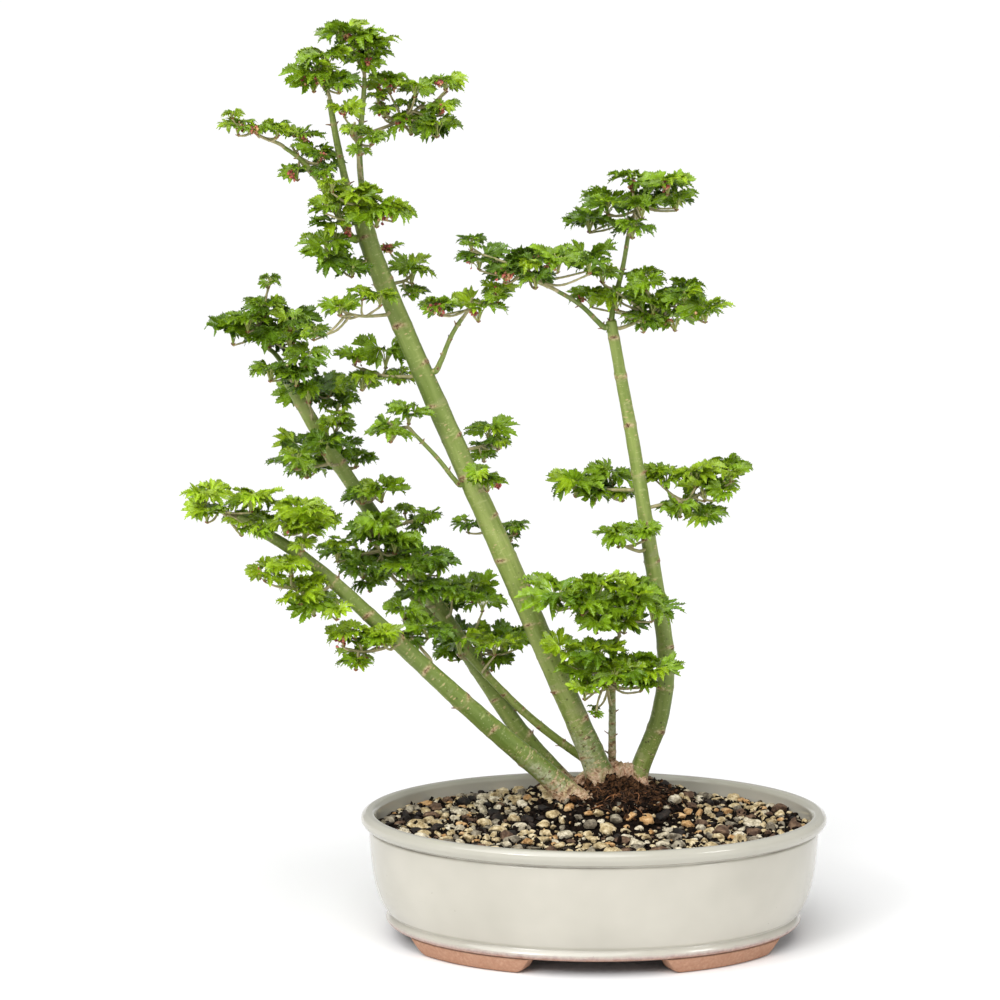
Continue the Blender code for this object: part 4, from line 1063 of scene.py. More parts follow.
def make_root_mat():
    """The ragged dark brown mound of peat and roots that the stems rise from."""
    rings = []
    for share in ((ring + 1) / MAT_RINGS for ring in range(MAT_RINGS)):
        row = []
        for k in range(MAT_SIDES):
            x, y = root_spot(2 * math.pi * k / MAT_SIDES, ROOT_REACH * share)
            rough = 3.2 * rough_at(x, y, 0.3, 5) * (1 - share**3) + 1.5 * rough_at(x, y, 0.95, 1)
            row.append((x, y, root_height(x, y) - MAT_SINK + rough - 2.2 * share**4))
        rings.append(row)
    middle = (ROOT_CENTRE.x, ROOT_CENTRE.y, root_height(*ROOT_CENTRE) - MAT_SINK)
    peat = soil_material("peat_brown", DARK_EARTH, srgb(74, 48, 30))
    dress(heap("root_mat", rings, MAT_SIDES, middle, peat), "soil")


# Kinds of root fibre: name, how many, and its two colours.
FIBRES = (
    ("dark", 340, (srgb(34, 21, 13), srgb(104, 70, 44))),
    ("red", 70, (srgb(112, 66, 38), srgb(190, 132, 84))),
)
FIBRE_STEPS, FIBRE_SINK = 7, 0.9


def fibre_route(dice):
    """A fibre that starts near the roots' middle and wanders off along the ground in a low arch."""
    angle = dice.uniform(0, 2 * math.pi)
    away = abs(dice.gauss(0, 17))
    x, y = root_spot(angle, away)
    heading = angle + dice.gauss(0, 1.5)
    length = dice.uniform(4, 17)
    lift = dice.uniform(0.8, 5.5) * max(0.25, 1 - away / 46)
    route = []
    for t in (i / FIBRE_STEPS for i in range(FIBRE_STEPS + 1)):
        route.append((x, y, root_height(x, y) - FIBRE_SINK + lift * math.sin(math.pi * min(1, t + 0.1))))
        heading += dice.gauss(0, 0.3)
        x += math.cos(heading) * length / FIBRE_STEPS
        y += math.sin(heading) * length / FIBRE_STEPS
    return route


def make_root_fibres():
    """The fine roots round the foot of the stems."""
    dice = random.Random(63)
    for name, count, colours in FIBRES:
        fibres = Batch("root_fibres_" + name)
        for _ in range(count):
            route = fibre_route(dice)
            fibres.add(*tube(route, tapering(dice.uniform(0.18, 0.45), 0.6, len(route)), 4))
        dress(fibres.build(plain_plant_material("fibre_" + name, *colours, 0.8), SMOOTH), "bark")


def make_clods():
    """Clods of peat and bark heaped among the roots."""
    dice = random.Random(85)
    shapes = [lumpy_ball(3, dice, 0.5, 0.6) for _ in range(8)]
    clods = Batch("peat_clods")
    for _ in range(CLOD_COUNT):
        angle, away = dice.uniform(0, 2 * math.pi), abs(dice.gauss(0, 20))
        x, y = root_spot(angle, away)
        radius = (1.1 + dice.gammavariate(1.5, 1.1)) * max(0.45, 1 - away / 60)
        points, faces = dice.choice(shapes)
        points = turned(random_turn(dice), points * CLOD_SHAPE) * radius
        level = root_height(x, y) - CLOD_SINK + radius * dice.uniform(-0.2, 0.8)
        clods.add(points + np.array([x, y, level]), faces)
    dress(clods.build(soil_material("clod_brown", srgb(8, 5, 4), srgb(120, 84, 56)), 45), "soil")


# The knobs of the root crown: place and half sizes.
BURLS = (
    ((8, 36, 91), (10.5, 9.5, 10)),
    ((17, 43, 94), (8.5, 8, 12)),
    ((24, 44, 93), (7.5, 7.5, 11)),
    ((31, 42, 91), (7.5, 7, 8)),
    ((-3, 14, 86), (9, 7.5, 6)),
    ((-9, 56, 87), (8, 7, 6)),
    ((16, 29, 87), (8, 6, 6)),
    ((25, 33, 86), (6, 5, 5)),
)


def burl_material():
    wood = Shader("burl_bark", srgb(168, 134, 108), 0.8, specular=0.25)
    browns = [(0.36, srgb(80, 48, 34)), (0.42, srgb(172, 128, 98)), (0.52, srgb(218, 180, 148)),
              (0.66, srgb(238, 218, 192))]
    rough = wood.ramp(wood.noise(330, 6, 0.75), browns)
    wood.colour(wood.coat(rough, wood.noise(90), [(0.5, 0.0), (0.64, 0.6)], srgb(116, 122, 70)))
    wood.bump(wood.noise(420, 6, 0.75), 1.0, 0.0016)
    return wood.made


def make_burls():
    """Knobbly woody swellings that join the stems at the ground."""
    dice = random.Random(74)
    burls = Batch("root_burls")
    for place, sizes in BURLS:
        points, faces = ball(5)
        offset = random_offset(dice, 50)
        spots = points * np.array(sizes)
        grown = []
        for point, spot in zip(points, spots):
            where = Vector(spot + np.array(place))
            knobs = 0.9 * noise.noise(where * 0.16 + offset) + 0.5 * noise.noise(where * 0.42)
            upright = Vector((where.x * 0.5, where.y * 0.5, where.z * 0.16))
            creases = 0.75 * abs(noise.noise(upright + offset)) + 0.4 * abs(noise.noise(where * 0.9))
            grown.append(spot + point * (0.2 + knobs - creases) * 3.2)
        burls.add(np.array(grown) + np.array(place), faces)
    dress(burls.build(burl_material(), SMOOTH), "bark")


# ---------------------------------------------------------------- stems

def node_places(length, gap, first, dice):
    """Where the rings of old buds sit along a stem, and the way each faces."""
    place, turn = first, dice.uniform(0, math.pi)
    while place < length - 3:
        yield place, turn
        place += gap * dice.uniform(0.8, 1.25)
        turn += math.pi / 2 + dice.uniform(-0.25, 0.25)


# How far up each stem from the ground its green bark is crusted over.
CRUST_HEIGHTS = {
    "trunk_main": 64.0,
    "trunk_low": 44.0,
    "trunk_left": 34.0,
    "trunk_right": 30.0,
    "shoot_base": 110.0,
}
CRUST_HEIGHT = 24.0
# The trunks whose sawn tops are scarred all over, and how strongly.
SAWN, SAWN_SCAR = ("trunk_main", "trunk_left"), 0.8
# By girth, from the thickest: points round a stem, and the distance between its rings.
STEM_SIDES = ((5.0, 40), (2.6, 20), (0.0, 14))
RING_GAPS = ((5.0, 27.0), (2.6, 19.0), (0.0, 12.0))
SHOOT_GAP, SHOOT_FIRST = 8.0, 8.0
# The rings of old buds: (height, half width) of their swell, ridge and groove, in millimetres.
RING_SWELL, RING_RIDGE, RING_GROOVE = (0.16, 2.6), (0.13, 0.45), (0.11, 0.4)
BUD_SIZE, BUD_SWELL, BUD_HOLLOW = (0.7, 1.25), 0.6, 0.55
STUBS_ON_THICK, STUBS_ON_THIN = 0.4, 0.7
LUMPS, PORES, CRUST_ROUGH = 0.045, 0.10, 0.55
DOME_RINGS, DOME_RISE = 3, 0.45


def by_girth(limb, steps):
    return next(value for girth, value in steps if limb.base > girth)


def mound(*offs):
    """1 in the middle of a smooth bump and 0 far from it."""
    return np.exp(-sum(off**2 for off in offs))


def noise_grid(points, scale, offset, stretch=1.0):
    """Noise at each point of a grid, drawn out upright where stretch is under 1."""
    spots = points.reshape(-1, 3) * (1, 1, stretch)
    return np.array([noise.noise(Vector(spot) * scale + offset) for spot in spots]).reshape(points.shape[:2])


def over_tip(values, sides, tip_value=None):
    """Values for all of a stem's points: the grid's own, then those of the domed tip and the two middles."""
    values = values.reshape(-1, *values.shape[2:])
    extra = np.concatenate([values[-sides:]] * DOME_RINGS + [values[-1:]] * 2)
    if tip_value is not None:
        extra[:] = tip_value
    return np.concatenate([values, extra])


class StemSkin:
    """A limb's surface as a grid of rings, with its taper, old buds, pores and lumps as relief.

    stubs lists the grid places of the dead stubs that stand out at some of its old buds.
    """

    def __init__(self, limb, dice):
        self.limb, self.dice = limb, dice
        route = np.array(limb.route)
        lengths = np.concatenate([[0], np.cumsum(np.linalg.norm(np.diff(route, axis=0), axis=1))])
        self.length = lengths[-1]
        step = 0.85 if limb.base > 2.5 else 0.7
        self.place = np.linspace(0, self.length, max(8, round(self.length / step)))
        self.route = np.stack([np.interp(self.place, lengths, route[:, axis]) for axis in range(3)], axis=1)
        self.sides = by_girth(limb, STEM_SIDES)
        self.along, across, side = frames_along(self.route)
        self.rim = ring_ways(across, side, ring_angles(self.sides))
        self.s, self.a = np.meshgrid(self.place, ring_angles(self.sides), indexing="ij")
        self.radius = limb.base + (limb.tip - limb.base) * (self.s / self.length)
        if limb.joins:
            self.radius = self.radius * (1 + 0.55 * np.exp(-self.s / 3.2))
        self.thick = min(1.0, limb.base / 6.0)
        self.relief, self.scar, self.ring, self.crust = (np.zeros_like(self.s) for _ in range(4))
        self.stubs = []
        self.add_rings()
        self.add_lumps(self.route[:, None] + self.rim * self.radius[:, :, None])

    def add_rings(self):
        """The rings round the stem, each with two old buds."""
        limb, dice, s, a = self.limb, self.dice, self.s, self.a
        gap = SHOOT_GAP if limb.name == "shoot_base" else by_girth(limb, RING_GAPS)
        first = SHOOT_FIRST if limb.joins else dice.uniform(14, 22)
        for spot, turn in node_places(self.length, gap, first, dice):
            slant = 0.16 * self.radius * np.cos(2 * (a - turn))
            slant += 0.12 * self.radius * np.cos(a - dice.uniform(0, ANY_TURN))
            off = s - spot - slant
            broken = 0.5 + 0.5 * np.cos(a * dice.choice((1, 2, 3)) + dice.uniform(0, ANY_TURN))
            ridge = RING_RIDGE[0] * mound(off / RING_RIDGE[1])
            groove = RING_GROOVE[0] * mound((off + 0.8) / RING_GROOVE[1])
            self.relief += RING_SWELL[0] * self.thick * mound(off / RING_SWELL[1])
            self.relief += self.thick * (ridge - groove) * broken
            self.ring = np.maximum(self.ring, 0.42 * broken * mound(off / 0.5))
            for way in (0, math.pi):
                self.add_bud(spot, turn, way, off)

    def add_bud(self, spot, turn, way, off):
        """The swelling and scar of one old bud, and now and then a stub that is left of it."""
        thick, size = self.thick, self.dice.uniform(*BUD_SIZE)
        if self.dice.random() < (STUBS_ON_THICK if self.limb.base > 5 else STUBS_ON_THIN):
            column = round((turn + way) * self.sides / (2 * math.pi)) % self.sides
            self.stubs.append((np.abs(self.place - spot).argmin(), column))
        turned_by = (self.a - turn - way + math.pi) % (2 * math.pi) - math.pi
        wide = turned_by * self.radius / (size * (3.7 * thick + 0.4))
        tall = off / (size * (1.5 * thick + 0.3))
        self.relief += BUD_SWELL * thick * np.exp(-(wide**2 + tall**2) * 1.2)
        self.relief -= BUD_HOLLOW * thick * np.exp(-((wide / 0.6)**2 + (tall / 0.45)**2) * 1.4)
        scar = 1.5 * mound(wide / 0.5, tall / 0.34)
        ring = 1.5 * np.exp(-(wide**2 * 0.9 + tall**2 * 1.9))
        self.scar = np.maximum(self.scar, np.clip(scar, 0, 1))
        self.ring = np.maximum(self.ring, np.clip(ring, 0, 0.95))

    def add_lumps(self, points):
        """Lumps and pores, and at the ground the rough crust and the flare; `points` is the plain surface."""
        limb, thick = self.limb, self.thick
        offset = Vector((self.dice.uniform(0, 90), 0, 0))
        lumps, pores = noise_grid(points, 0.075, offset), noise_grid(points, 0.55, offset, 0.35)
        self.relief += LUMPS * self.radius * lumps + PORES * thick * pores
        if limb.joins:
            self.age = np.full_like(self.s, 0.35)
        else:
            self.age = np.clip(1 - self.s / 260.0, 0.1, 1.0)
            height = points[:, :, 2] - MOUND_TOP
            self.crust = np.clip(1 - height / CRUST_HEIGHTS.get(limb.name, CRUST_HEIGHT), 0, 1) * 0.9
            rough = noise_grid(points, 0.4, offset)
            self.relief += CRUST_ROUGH * thick * rough * np.clip(1 - height / 16.0, 0, 1)
            height = np.maximum(0, height)
            if limb.name == "trunk_main":
                bearing = np.arctan2(self.rim[:, :, 1], self.rim[:, :, 0])
                lobes = FLARE * (1 + FLARE_LOBE_DEPTH * np.cos(FLARE_LOBES * bearing))
                self.relief += lobes * np.exp(-height / FLARE_HEIGHT)
            else:
                self.relief += 0.3 * limb.base * np.exp(-height / 5.0)
        self.points = points + self.rim * self.relief[:, :, None]

    def closed(self):
        """(points, faces) of the surface with a flat foot and a domed tip."""
        sides, ahead = self.sides, self.along[-1]
        points = self.points.reshape(-1, 3)
        last = points[-sides:]
        centre, reach = last.mean(0), self.radius[-1].mean()
        rings = [points]
        for i in range(1, DOME_RINGS + 1):
            turn = i / (DOME_RINGS + 1) * math.pi / 2
            rise = ahead * reach * DOME_RISE * math.sin(turn)
            rings.append(centre + (last - centre) * math.cos(turn) + rise)
        points = np.vstack([*rings, self.route[-1] + ahead * reach * DOME_RISE, self.route[0]])
        count = len(self.place) + DOME_RINGS
        heart = count * sides
        ends = [fan((count - 1) * sides, sides, heart), fan(0, sides, heart + 1, flip=True)]
        return points, [grid_faces(count, sides), np.vstack(ends)]

    def values(self):
        """What the bark's material reads at each point."""
        turn, scar = self.a, SAWN_SCAR if self.limb.name in SAWN else 0.0
        streak = np.stack([np.cos(turn) * self.radius, np.sin(turn) * self.radius, self.s * 0.12], axis=-1)
        return {
            "scar": over_tip(self.scar, self.sides, scar),
            "ring": over_tip(self.ring, self.sides, 0.0),
            "crust": over_tip(self.crust, self.sides),
            "age": over_tip(self.age, self.sides),
            "streak": over_tip(streak * MM + self.limb.base * 0.1, self.sides),
        }

    def spurs(self):
        """(place, way) of each stub."""
        for i, j in self.stubs:
            way = Vector(self.rim[i, j] + 0.7 * self.along[i]).normalized()
            yield Vector(self.points[i, j]), way


def add_spur(batch, place, way, dice):
    length, radius = dice.uniform(1.2, 3.4), dice.uniform(0.45, 0.8)
    end = place + way * length + Vector([dice.gauss(0, 0.4) for _ in range(3)])
    route = smooth_route([place - way * 0.6, place.lerp(end, 0.5), end], 0.7)
    batch.add(*tube(route, tapering(radius, 0.55, len(route)), 7))


ROOT_IN, ROOT_STEP, ROOT_AHEAD = 4.0, 1.3, 3.0


def rooted(limb, limbs):
    """The limb's route, started further back so that it grows out of its parent's wood."""
    first = limb.route[0]
    parent, share = limb.joins
    middle, _ = place_along(limbs[parent].route, share)
    inward = middle - first
    if share == 1.0:
        inward = -(limb.route[2] - first).normalized() * ROOT_AHEAD
    reach = min(inward.length, ROOT_IN)
    steps = max(1, round(reach / ROOT_STEP))
    return [first + inward.normalized() * reach * (1 - i / steps) for i in range(steps)] + limb.route


def make_stems(limbs):
    finish = bark_material()
    stubs = Batch("bud_spurs")
    for name, limb in limbs.items():
        dice = random.Random("bark " + name)
        skin = StemSkin(limb._replace(route=rooted(limb, limbs)) if limb.joins else limb, dice)
        piece = Batch("stem_" + name)
        piece.add(*skin.closed(), **skin.values())
        dress(piece.build(finish, SMOOTH), "bark", name)
        for place, way in skin.spurs():
            add_spur(stubs, place, way, dice)
    dead = plain_plant_material("dead_wood", srgb(86, 58, 38), srgb(160, 126, 90), 0.8)
    dress(stubs.build(dead, SMOOTH), "bark")


# ---------------------------------------------------------------- leaves

# Each lobe's heading in degrees and length.
LOBES = ((-100, 0.62), (-66, 0.84), (-32, 0.96), (0, 1.0), (32, 0.96), (66, 0.84), (100, 0.62))
# Rows of a lobe: share of its length, half width as a share of the leaf's length (None where it is
# still joined to the next lobe), and 1 at the point of a tooth.
LOBE_ROWS = (
    (0.02, None, 0), (0.30, None, 0), (0.52, None, 0),
    (0.545, 0.108, 0), (0.600, 0.152, 1), (0.622, 0.118, 0), (0.690, 0.152, 1), (0.712, 0.112, 0),
    (0.780, 0.140, 1), (0.802, 0.096, 0), (0.868, 0.114, 1), (0.890, 0.066, 0), (0.990, 0.010, 0),
)
JOINED, SMALL_LOBE = 0.52, 100
# The two small lobes next to the stalk have fewer teeth.
SMALL_LOBE_ROWS = LOBE_ROWS[:6] + LOBE_ROWS[8:10] + LOBE_ROWS[12:]
TOOTH_LIFT, TOOTH_AHEAD, NOTCH_BACK, SIDE_VEINS = 0.018, 0.06, 0.02, 7.5
# What is dealt to each leaf, and to each of its lobes.
FOLD, DROOP, SPREAD = (0.4, 0.95), (-0.1, 0.22), (0.56, 0.92)
LOBE_SCALE, LOBE_BEND, LOBE_TWIST, LOBE_CURL = (0.9, 1.06), (-0.7, 0.7), (-1.7, 1.7), (-1.7, 1.3)
EDGE_TURN, LOBE_SWAY = 0.33, 3.5

Leaf = namedtuple("Leaf", "fold droop spread offset")
Lobe = namedtuple("Lobe", "angle low high length bend twist curl")


def half_width(lobe, share, half, side):
    """How far the lobe reaches to one side: where it is still joined, as far as halfway to the next."""
    if half is not None:
        return half * (0.55 + 0.45 * lobe.length)
    turn = lobe.high - lobe.angle if side > 0 else lobe.angle - lobe.low
    return share * lobe.length * math.tan(turn)


def lobe_point(leaf, lobe, row, side):
    """The point of a lobe's row at its right edge (-1), midrib (0) or left edge (1)."""
    share, half, tooth = row
    edge = abs(side)
    free = max(0.0, share - JOINED)
    heading = lobe.angle + lobe.bend * free**2
    ahead = np.array([math.cos(heading), math.sin(heading), 0.0])
    aside = np.array([-ahead[1], ahead[0], 0.0])
    out, lean = side * half_width(lobe, share, half, side), lobe.twist * free
    rise = leaf.fold * abs(out) * (1 - 0.4 * free) + math.sin(lean) * out
    forward = TOOTH_AHEAD * tooth * edge
    if half is not None:
        rise += TOOTH_LIFT * (1 if tooth else -1) * edge
        forward -= NOTCH_BACK * edge
    reach = share * lobe.length
    sag = -leaf.droop * reach**2 + lobe.curl * free**2 * 0.5
    spot = ahead * (reach + forward) + aside * out * math.cos(lean)
    wave = noise.noise(Vector((spot[0] * 3.2, spot[1] * 3.2, 0)) + leaf.offset)
    fine = noise.noise(Vector((spot[0] * 9, spot[1] * 9, 4)) + leaf.offset)
    spot[2] = sag + rise + 0.08 * wave + 0.042 * fine
    return spot


def leaf_variant(dice):
    """(points, faces, ribs) of a crinkled leaf with seven toothed lobes, lying along X from its stalk's end.

    ribs holds for each point how far it lies from its lobe's midrib and a phase that counts the side veins.
    """
    leaf = Leaf(dice.uniform(*FOLD), dice.uniform(*DROOP), dice.uniform(*SPREAD), random_offset(dice, 60))
    headings = [degrees * leaf.spread + dice.uniform(-LOBE_SWAY, LOBE_SWAY) for degrees, _ in LOBES]
    angles = [math.radians(degrees) for degrees in headings]
    between = [0.5 * (a + b) for a, b in zip(angles, angles[1:])]
    edges = [angles[0] - EDGE_TURN, *between, angles[-1] + EDGE_TURN]
    points, faces, ribs = [], [], []
    for (degrees, length), angle, low, high in zip(LOBES, angles, edges, edges[1:]):
        length *= dice.uniform(*LOBE_SCALE)
        bent = [dice.uniform(*reach) for reach in (LOBE_BEND, LOBE_TWIST, LOBE_CURL)]
        lobe = Lobe(angle, low, high, length, *bent)
        rows = SMALL_LOBE_ROWS if abs(degrees) == SMALL_LOBE else LOBE_ROWS
        first = len(points)
        for row in rows:
            for side in (-1.0, 0.0, 1.0):
                points.append(lobe_point(leaf, lobe, row, side))
                ribs.append((side, row[0] * SIDE_VEINS - abs(side) * 1.2, row[0] * length))
        for a in range(first, len(points) - 3, 3):
            faces += [(a, a + 4, a + 1), (a, a + 3, a + 4), (a + 1, a + 4, a + 2), (a + 2, a + 4, a + 5)]
    return np.array(points), np.array(faces), np.array(ribs)


# The leaves' colours, from dark to yellow-green.
TINTS = (
    ("dark", (62, 90, 6)),
    ("deep", (88, 120, 8)),
    ("mid", (116, 148, 10)),
    ("fresh", (140, 168, 16)),
    ("pale", (156, 186, 30)),
)
# Kinds of flower bud: name, share of all buds, and its two colours.
BUDS = (
    ("dark", 2, (srgb(96, 34, 30), srgb(140, 58, 50))),
    ("red", 4, (srgb(168, 72, 62), srgb(204, 116, 98))),
    ("tan", 2, (srgb(178, 128, 84), srgb(216, 176, 128))),
)
LEAF_SHAPES, BUD_SHAPES, BUD_SHAPE = 28, 6, np.array([1.0, 0.8, 1.25])
# A spray's ring of leaves and its young leaves: pitch in degrees, and length and lift as shares of its reach.
RING_LEAVES, RING_PITCH, RING_LENGTH, RING_LIFT = 5, (1, 12), (0.66, 0.96), (-0.03, 0.22)
YOUNG_LEAVES, YOUNG_PITCH, YOUNG_LENGTH, YOUNG_LIFT = 2, (15, 55), (0.4, 0.65), 0.1
LEAF_TRIES, TRY_TURN, SHORTEST, SHORTER = 4, 16, 0.6, 0.92
NODE_DROP, SCALES = 0.42, 4
# Every so many points along it a twig swells.
TWIG_NODE = 5
# Radius of a mass's own stem at its foot, and how much thinner its tip is.
SPINE_RADIUS, SPINE_TAPER = 1.3, 0.5
# A joined piece of leaves takes no more once it has so many triangles.
PIECE_TRIANGLES = 180000


def node_of(spray):
    """Where the spray's leaf stalks start, a little under its leaves."""
    return spray.place - UP * NODE_DROP * spray.reach


def plan_leaves(dice):
    """(azimuth, pitch, out, length, lift) of a spray's leaves, those of the ring first."""
    turn = dice.uniform(-14, 14)
    for number in range(RING_LEAVES):
        azimuth = turn + 360 * number / RING_LEAVES + dice.gauss(0, 11)
        pitch, length = dice.gauss(*RING_PITCH), dice.uniform(*RING_LENGTH)
        yield azimuth, pitch, 0.2, length, dice.uniform(*RING_LIFT)
    for _ in range(YOUNG_LEAVES):
        azimuth, pitch = dice.uniform(0, 360), dice.uniform(*YOUNG_PITCH)
        yield azimuth, pitch, 0.1, dice.uniform(*YOUNG_LENGTH), YOUNG_LIFT


def leaf_tint(mass, spray, lift, dice):
    """Leaves that stand higher, in their spray and in their mass, are paler: painted light from above."""
    # Painted light: lift in the spray and height in the mass choose paler tints; the dice add random spread.
    shade = mass.tint + 1.6 * (lift - 0.11) + dice.gauss(0, 0.22)
    shade += 0.25 * (spray.place.z - mass.centre[2]) / mass.radii[2]
    return TINTS[max(0, min(len(TINTS) - 1, round(2.0 + 2.0 * shade)))][0]


class Foliage:
    """Grows twigs, leaf stalks, leaves, bud scales and flowers, and keeps them in joined batches."""

    def __init__(self, limbs):
        self.limbs = limbs
        dice = random.Random(7)
        self.shapes = [leaf_variant(dice) for _ in range(LEAF_SHAPES)]
        self.bud_shapes = [lumpy_ball(2, dice, 0.4, 0.35) for _ in range(BUD_SHAPES)]
        self.leaves = {name: [Batch(f"leaves_{name}")] for name, _ in TINTS}
        self.buds = {name: Batch(f"flower_buds_{name}") for name, _, _ in BUDS}
        self.twigs = Batch("twigs")
        self.stalks = Batch("leaf_stalks")
        self.scales = Batch("bud_scales")
        routes = [np.array(limb.route)[::3] for limb in limbs.values()]
        widths = [limb.base + (limb.tip - limb.base) * np.linspace(0, 1, len(route))
                  for limb, route in zip(limbs.values(), routes)]
        self.bark_points = np.vstack(routes)
        self.bark_radii = np.concatenate(widths)

    def hits_bark(self, points, margin=0.6):
        away = np.linalg.norm(points[:, None] - self.bark_points[None], axis=2)
        return bool((away < self.bark_radii[None] + margin).any())

    def leaf_batch(self, tint):
        """The piece that takes the next leaf of this tint: a new one where the last is full."""
        batches = self.leaves[tint]
        if batches[-1].triangles() > PIECE_TRIANGLES:
            batches.append(Batch(f"leaves_{tint}_{len(batches) + 1}"))
        return batches[-1]

    def add_stalk(self, points, spacing, radius, sides=4):
        route = smooth_route(points, spacing)
        self.stalks.add(*tube(route, [radius] * len(route), sides))

    def add_leaf(self, node, base, forward, outward, size, tint, dice):
        """One leaf at base that leans outward, with its stalk from the node; False where it meets bark."""
        flat = forward.cross(UP).cross(forward).normalized()
        lean = dice.gauss(0.38, 0.34) * forward.cross(UP).dot(outward)
        normal = Matrix.Rotation(lean + dice.gauss(0, 0.2), 3, forward) @ flat
        across = normal.cross(forward).normalized()
        axes = Matrix((forward, across, forward.cross(across))).transposed()
        shape, faces, ribs = dice.choice(self.shapes)
        points = shape * size
        bow = dice.uniform(-0.04, 0.14)
        points[:, 2] -= bow * points[:, 0]**2 / size
        points = turned(axes, points) + np.array(base)
        if self.hits_bark(points[::3]):
            return False
        self.leaf_batch(tint).add(points, faces, rib=ribs)
        length = (base - node).length
        arch = base.lerp(node, 0.5) + UP * 0.12 * length
        self.add_stalk([node, arch, base + forward * 0.5], max(1.2, length / 5), 0.4)
        return True

    def add_scales(self, place, along, dice):
        """The ring of old bud scales at a spray's node."""
        across = along.orthogonal().normalized()
        for i in range(SCALES):
            way = Matrix.Rotation(i * 2 * math.pi / SCALES + dice.uniform(-0.3, 0.3), 3, along) @ across
            tip = place + along * dice.uniform(1.0, 2.2) + way * dice.uniform(1.2, 2.2)
            base = place + way * 0.5
            wide = along.cross(way).normalized() * dice.uniform(0.55, 0.85)
            middle = base.lerp(tip, 0.5) + way * 0.35
            points = np.array([base - wide * 0.6, base + wide * 0.6, middle + wide, middle - wide, tip])
            self.scales.add(points, np.array([(0, 1, 2), (0, 2, 3), (3, 2, 4)]))

    def add_twig(self, start, end, base, tip, dice):
        """A twig with slight kinks and a swelling at each node."""
        length = (end - start).length
        middle = start.lerp(end, 0.5) + Vector([dice.gauss(0, 0.05) * length for _ in range(3)])
        middle -= UP * 0.06 * length
        route = smooth_route([start, middle, end], 1.6)
        count = len(route)
        radii = [base + (tip - base) * i / (count - 1) for i in range(count)]
        radii = [r * (1.22 if i % TWIG_NODE == TWIG_NODE - 1 else 1.0) for i, r in enumerate(radii)]
        self.twigs.add(*tube(route, radii, 6))

    def add_flowers(self, place, dice):
        """A bunch of small red buds on short stalks, some still brown and some opened paler."""
        side = Vector((dice.gauss(0, 1), dice.gauss(0, 1), 0.1)).normalized()
        for _ in range(dice.randint(14, 19)):
            away = Vector([dice.gauss(0, 0.6) for _ in range(3)]) + side
            end = place + away.normalized() * dice.uniform(1.6, 5.0)
            self.add_stalk([place, place.lerp(end, 0.5) + UP * 0.8, end], 2.5, 0.24, sides=3)
            shape, faces = dice.choice(self.bud_shapes)
            size = dice.uniform(0.6, 1.15)
            points = turned(random_turn(dice), shape * BUD_SHAPE) * size + np.array(end)
            kind = dice.choices(list(self.buds), [share for _, share, _ in BUDS])[0]
            self.buds[kind].add(points, faces)

    def add_bunches(self, spray, node, dice):
        """The spray's bunches of flowers, which stand out from just over its node."""
        for _ in range(spray.flowers):
            end = node + Vector((dice.uniform(-0.3, 0.3), -0.25, 0.3)) * spray.reach
            self.add_stalk([node, node.lerp(end, 0.5) + UP, end], 2.0, 0.35)
            self.add_flowers(end, dice)

    def grow_leaf(self, mass, spray, plan, outward, dice):
        """One leaf, turned aside where it would meet bark and cut short where it would leave its mass."""
        azimuth, pitch, out, length, lift = plan
        room = max(1.3, depth_in(spray.place, mass) + 0.8)
        for attempt in range(LEAF_TRIES):
            angle = math.radians(azimuth + TRY_TURN * attempt)
            level = Vector((math.cos(angle), math.sin(angle), 0))
            rise = math.radians(pitch - 9 * max(0, level.dot(outward)))
            forward = level * math.cos(rise) + UP * math.sin(rise)
            base = spray.place + level * out * spray.reach + UP * lift * spray.reach
            size = length * spray.reach
            while depth_in(base + forward * size, mass) > room and size > SHORTEST * length * spray.reach:
                size *= SHORTER
            tint = leaf_tint(mass, spray, lift, dice)
            if self.add_leaf(node_of(spray), base, forward, outward, size, tint, dice):
                return

    def grow_spray(self, mass, spray, dice):
        """Old scales at the node, a ring of leaves, young ones that stand up, and bunches of flowers."""
        node = node_of(spray)
        self.add_scales(node, UP, dice)
        outward = Vector((0, -1 if spray.place.y <= mass.centre[1] else 1, 0))
        for plan in list(plan_leaves(dice)):
            self.grow_leaf(mass, spray, plan, outward, dice)
        self.add_bunches(spray, node, dice)

    def grow(self, mass):
        limb = self.limbs[mass.limb]
        start, out = tip_start(limb) if mass.at == 1.0 else side_start(limb, mass.at, Vector(mass.centre))
        dice = random.Random(mass.name)
        stem = plan_stem(mass, start, out)
        smooth_stem = smooth_route([stem[0] - out * 1.5, *stem], 1.6)
        last = len(smooth_stem) - 1
        radii = [SPINE_RADIUS - SPINE_TAPER * i / last for i in range(last + 1)]
        self.twigs.add(*tube(smooth_stem, radii, 8))
        sprays = list(plan_sprays(mass))
        for first, end in plan_twigs(stem, [node_of(spray) for spray in sprays]):
            self.add_twig(first, end, 0.85, 0.6, dice)
        for spray in sprays:
            self.grow_spray(mass, spray, dice)

    def grow_on_spur(self, limb, spray):
        """A spray on a spur that leaves the limb at its nearest side."""
        mass = min(MASSES, key=lambda mass: depth_in(spray.place, mass))
        dice = random.Random(str(tuple(spray.place)))
        node = node_of(spray)
        start, out = side_start(limb, max(0.02, nearest_share(limb, node) - 0.03), node)
        self.add_twig(start - out, node, 1.1, 0.65, dice)
        self.grow_spray(mass, spray, dice)

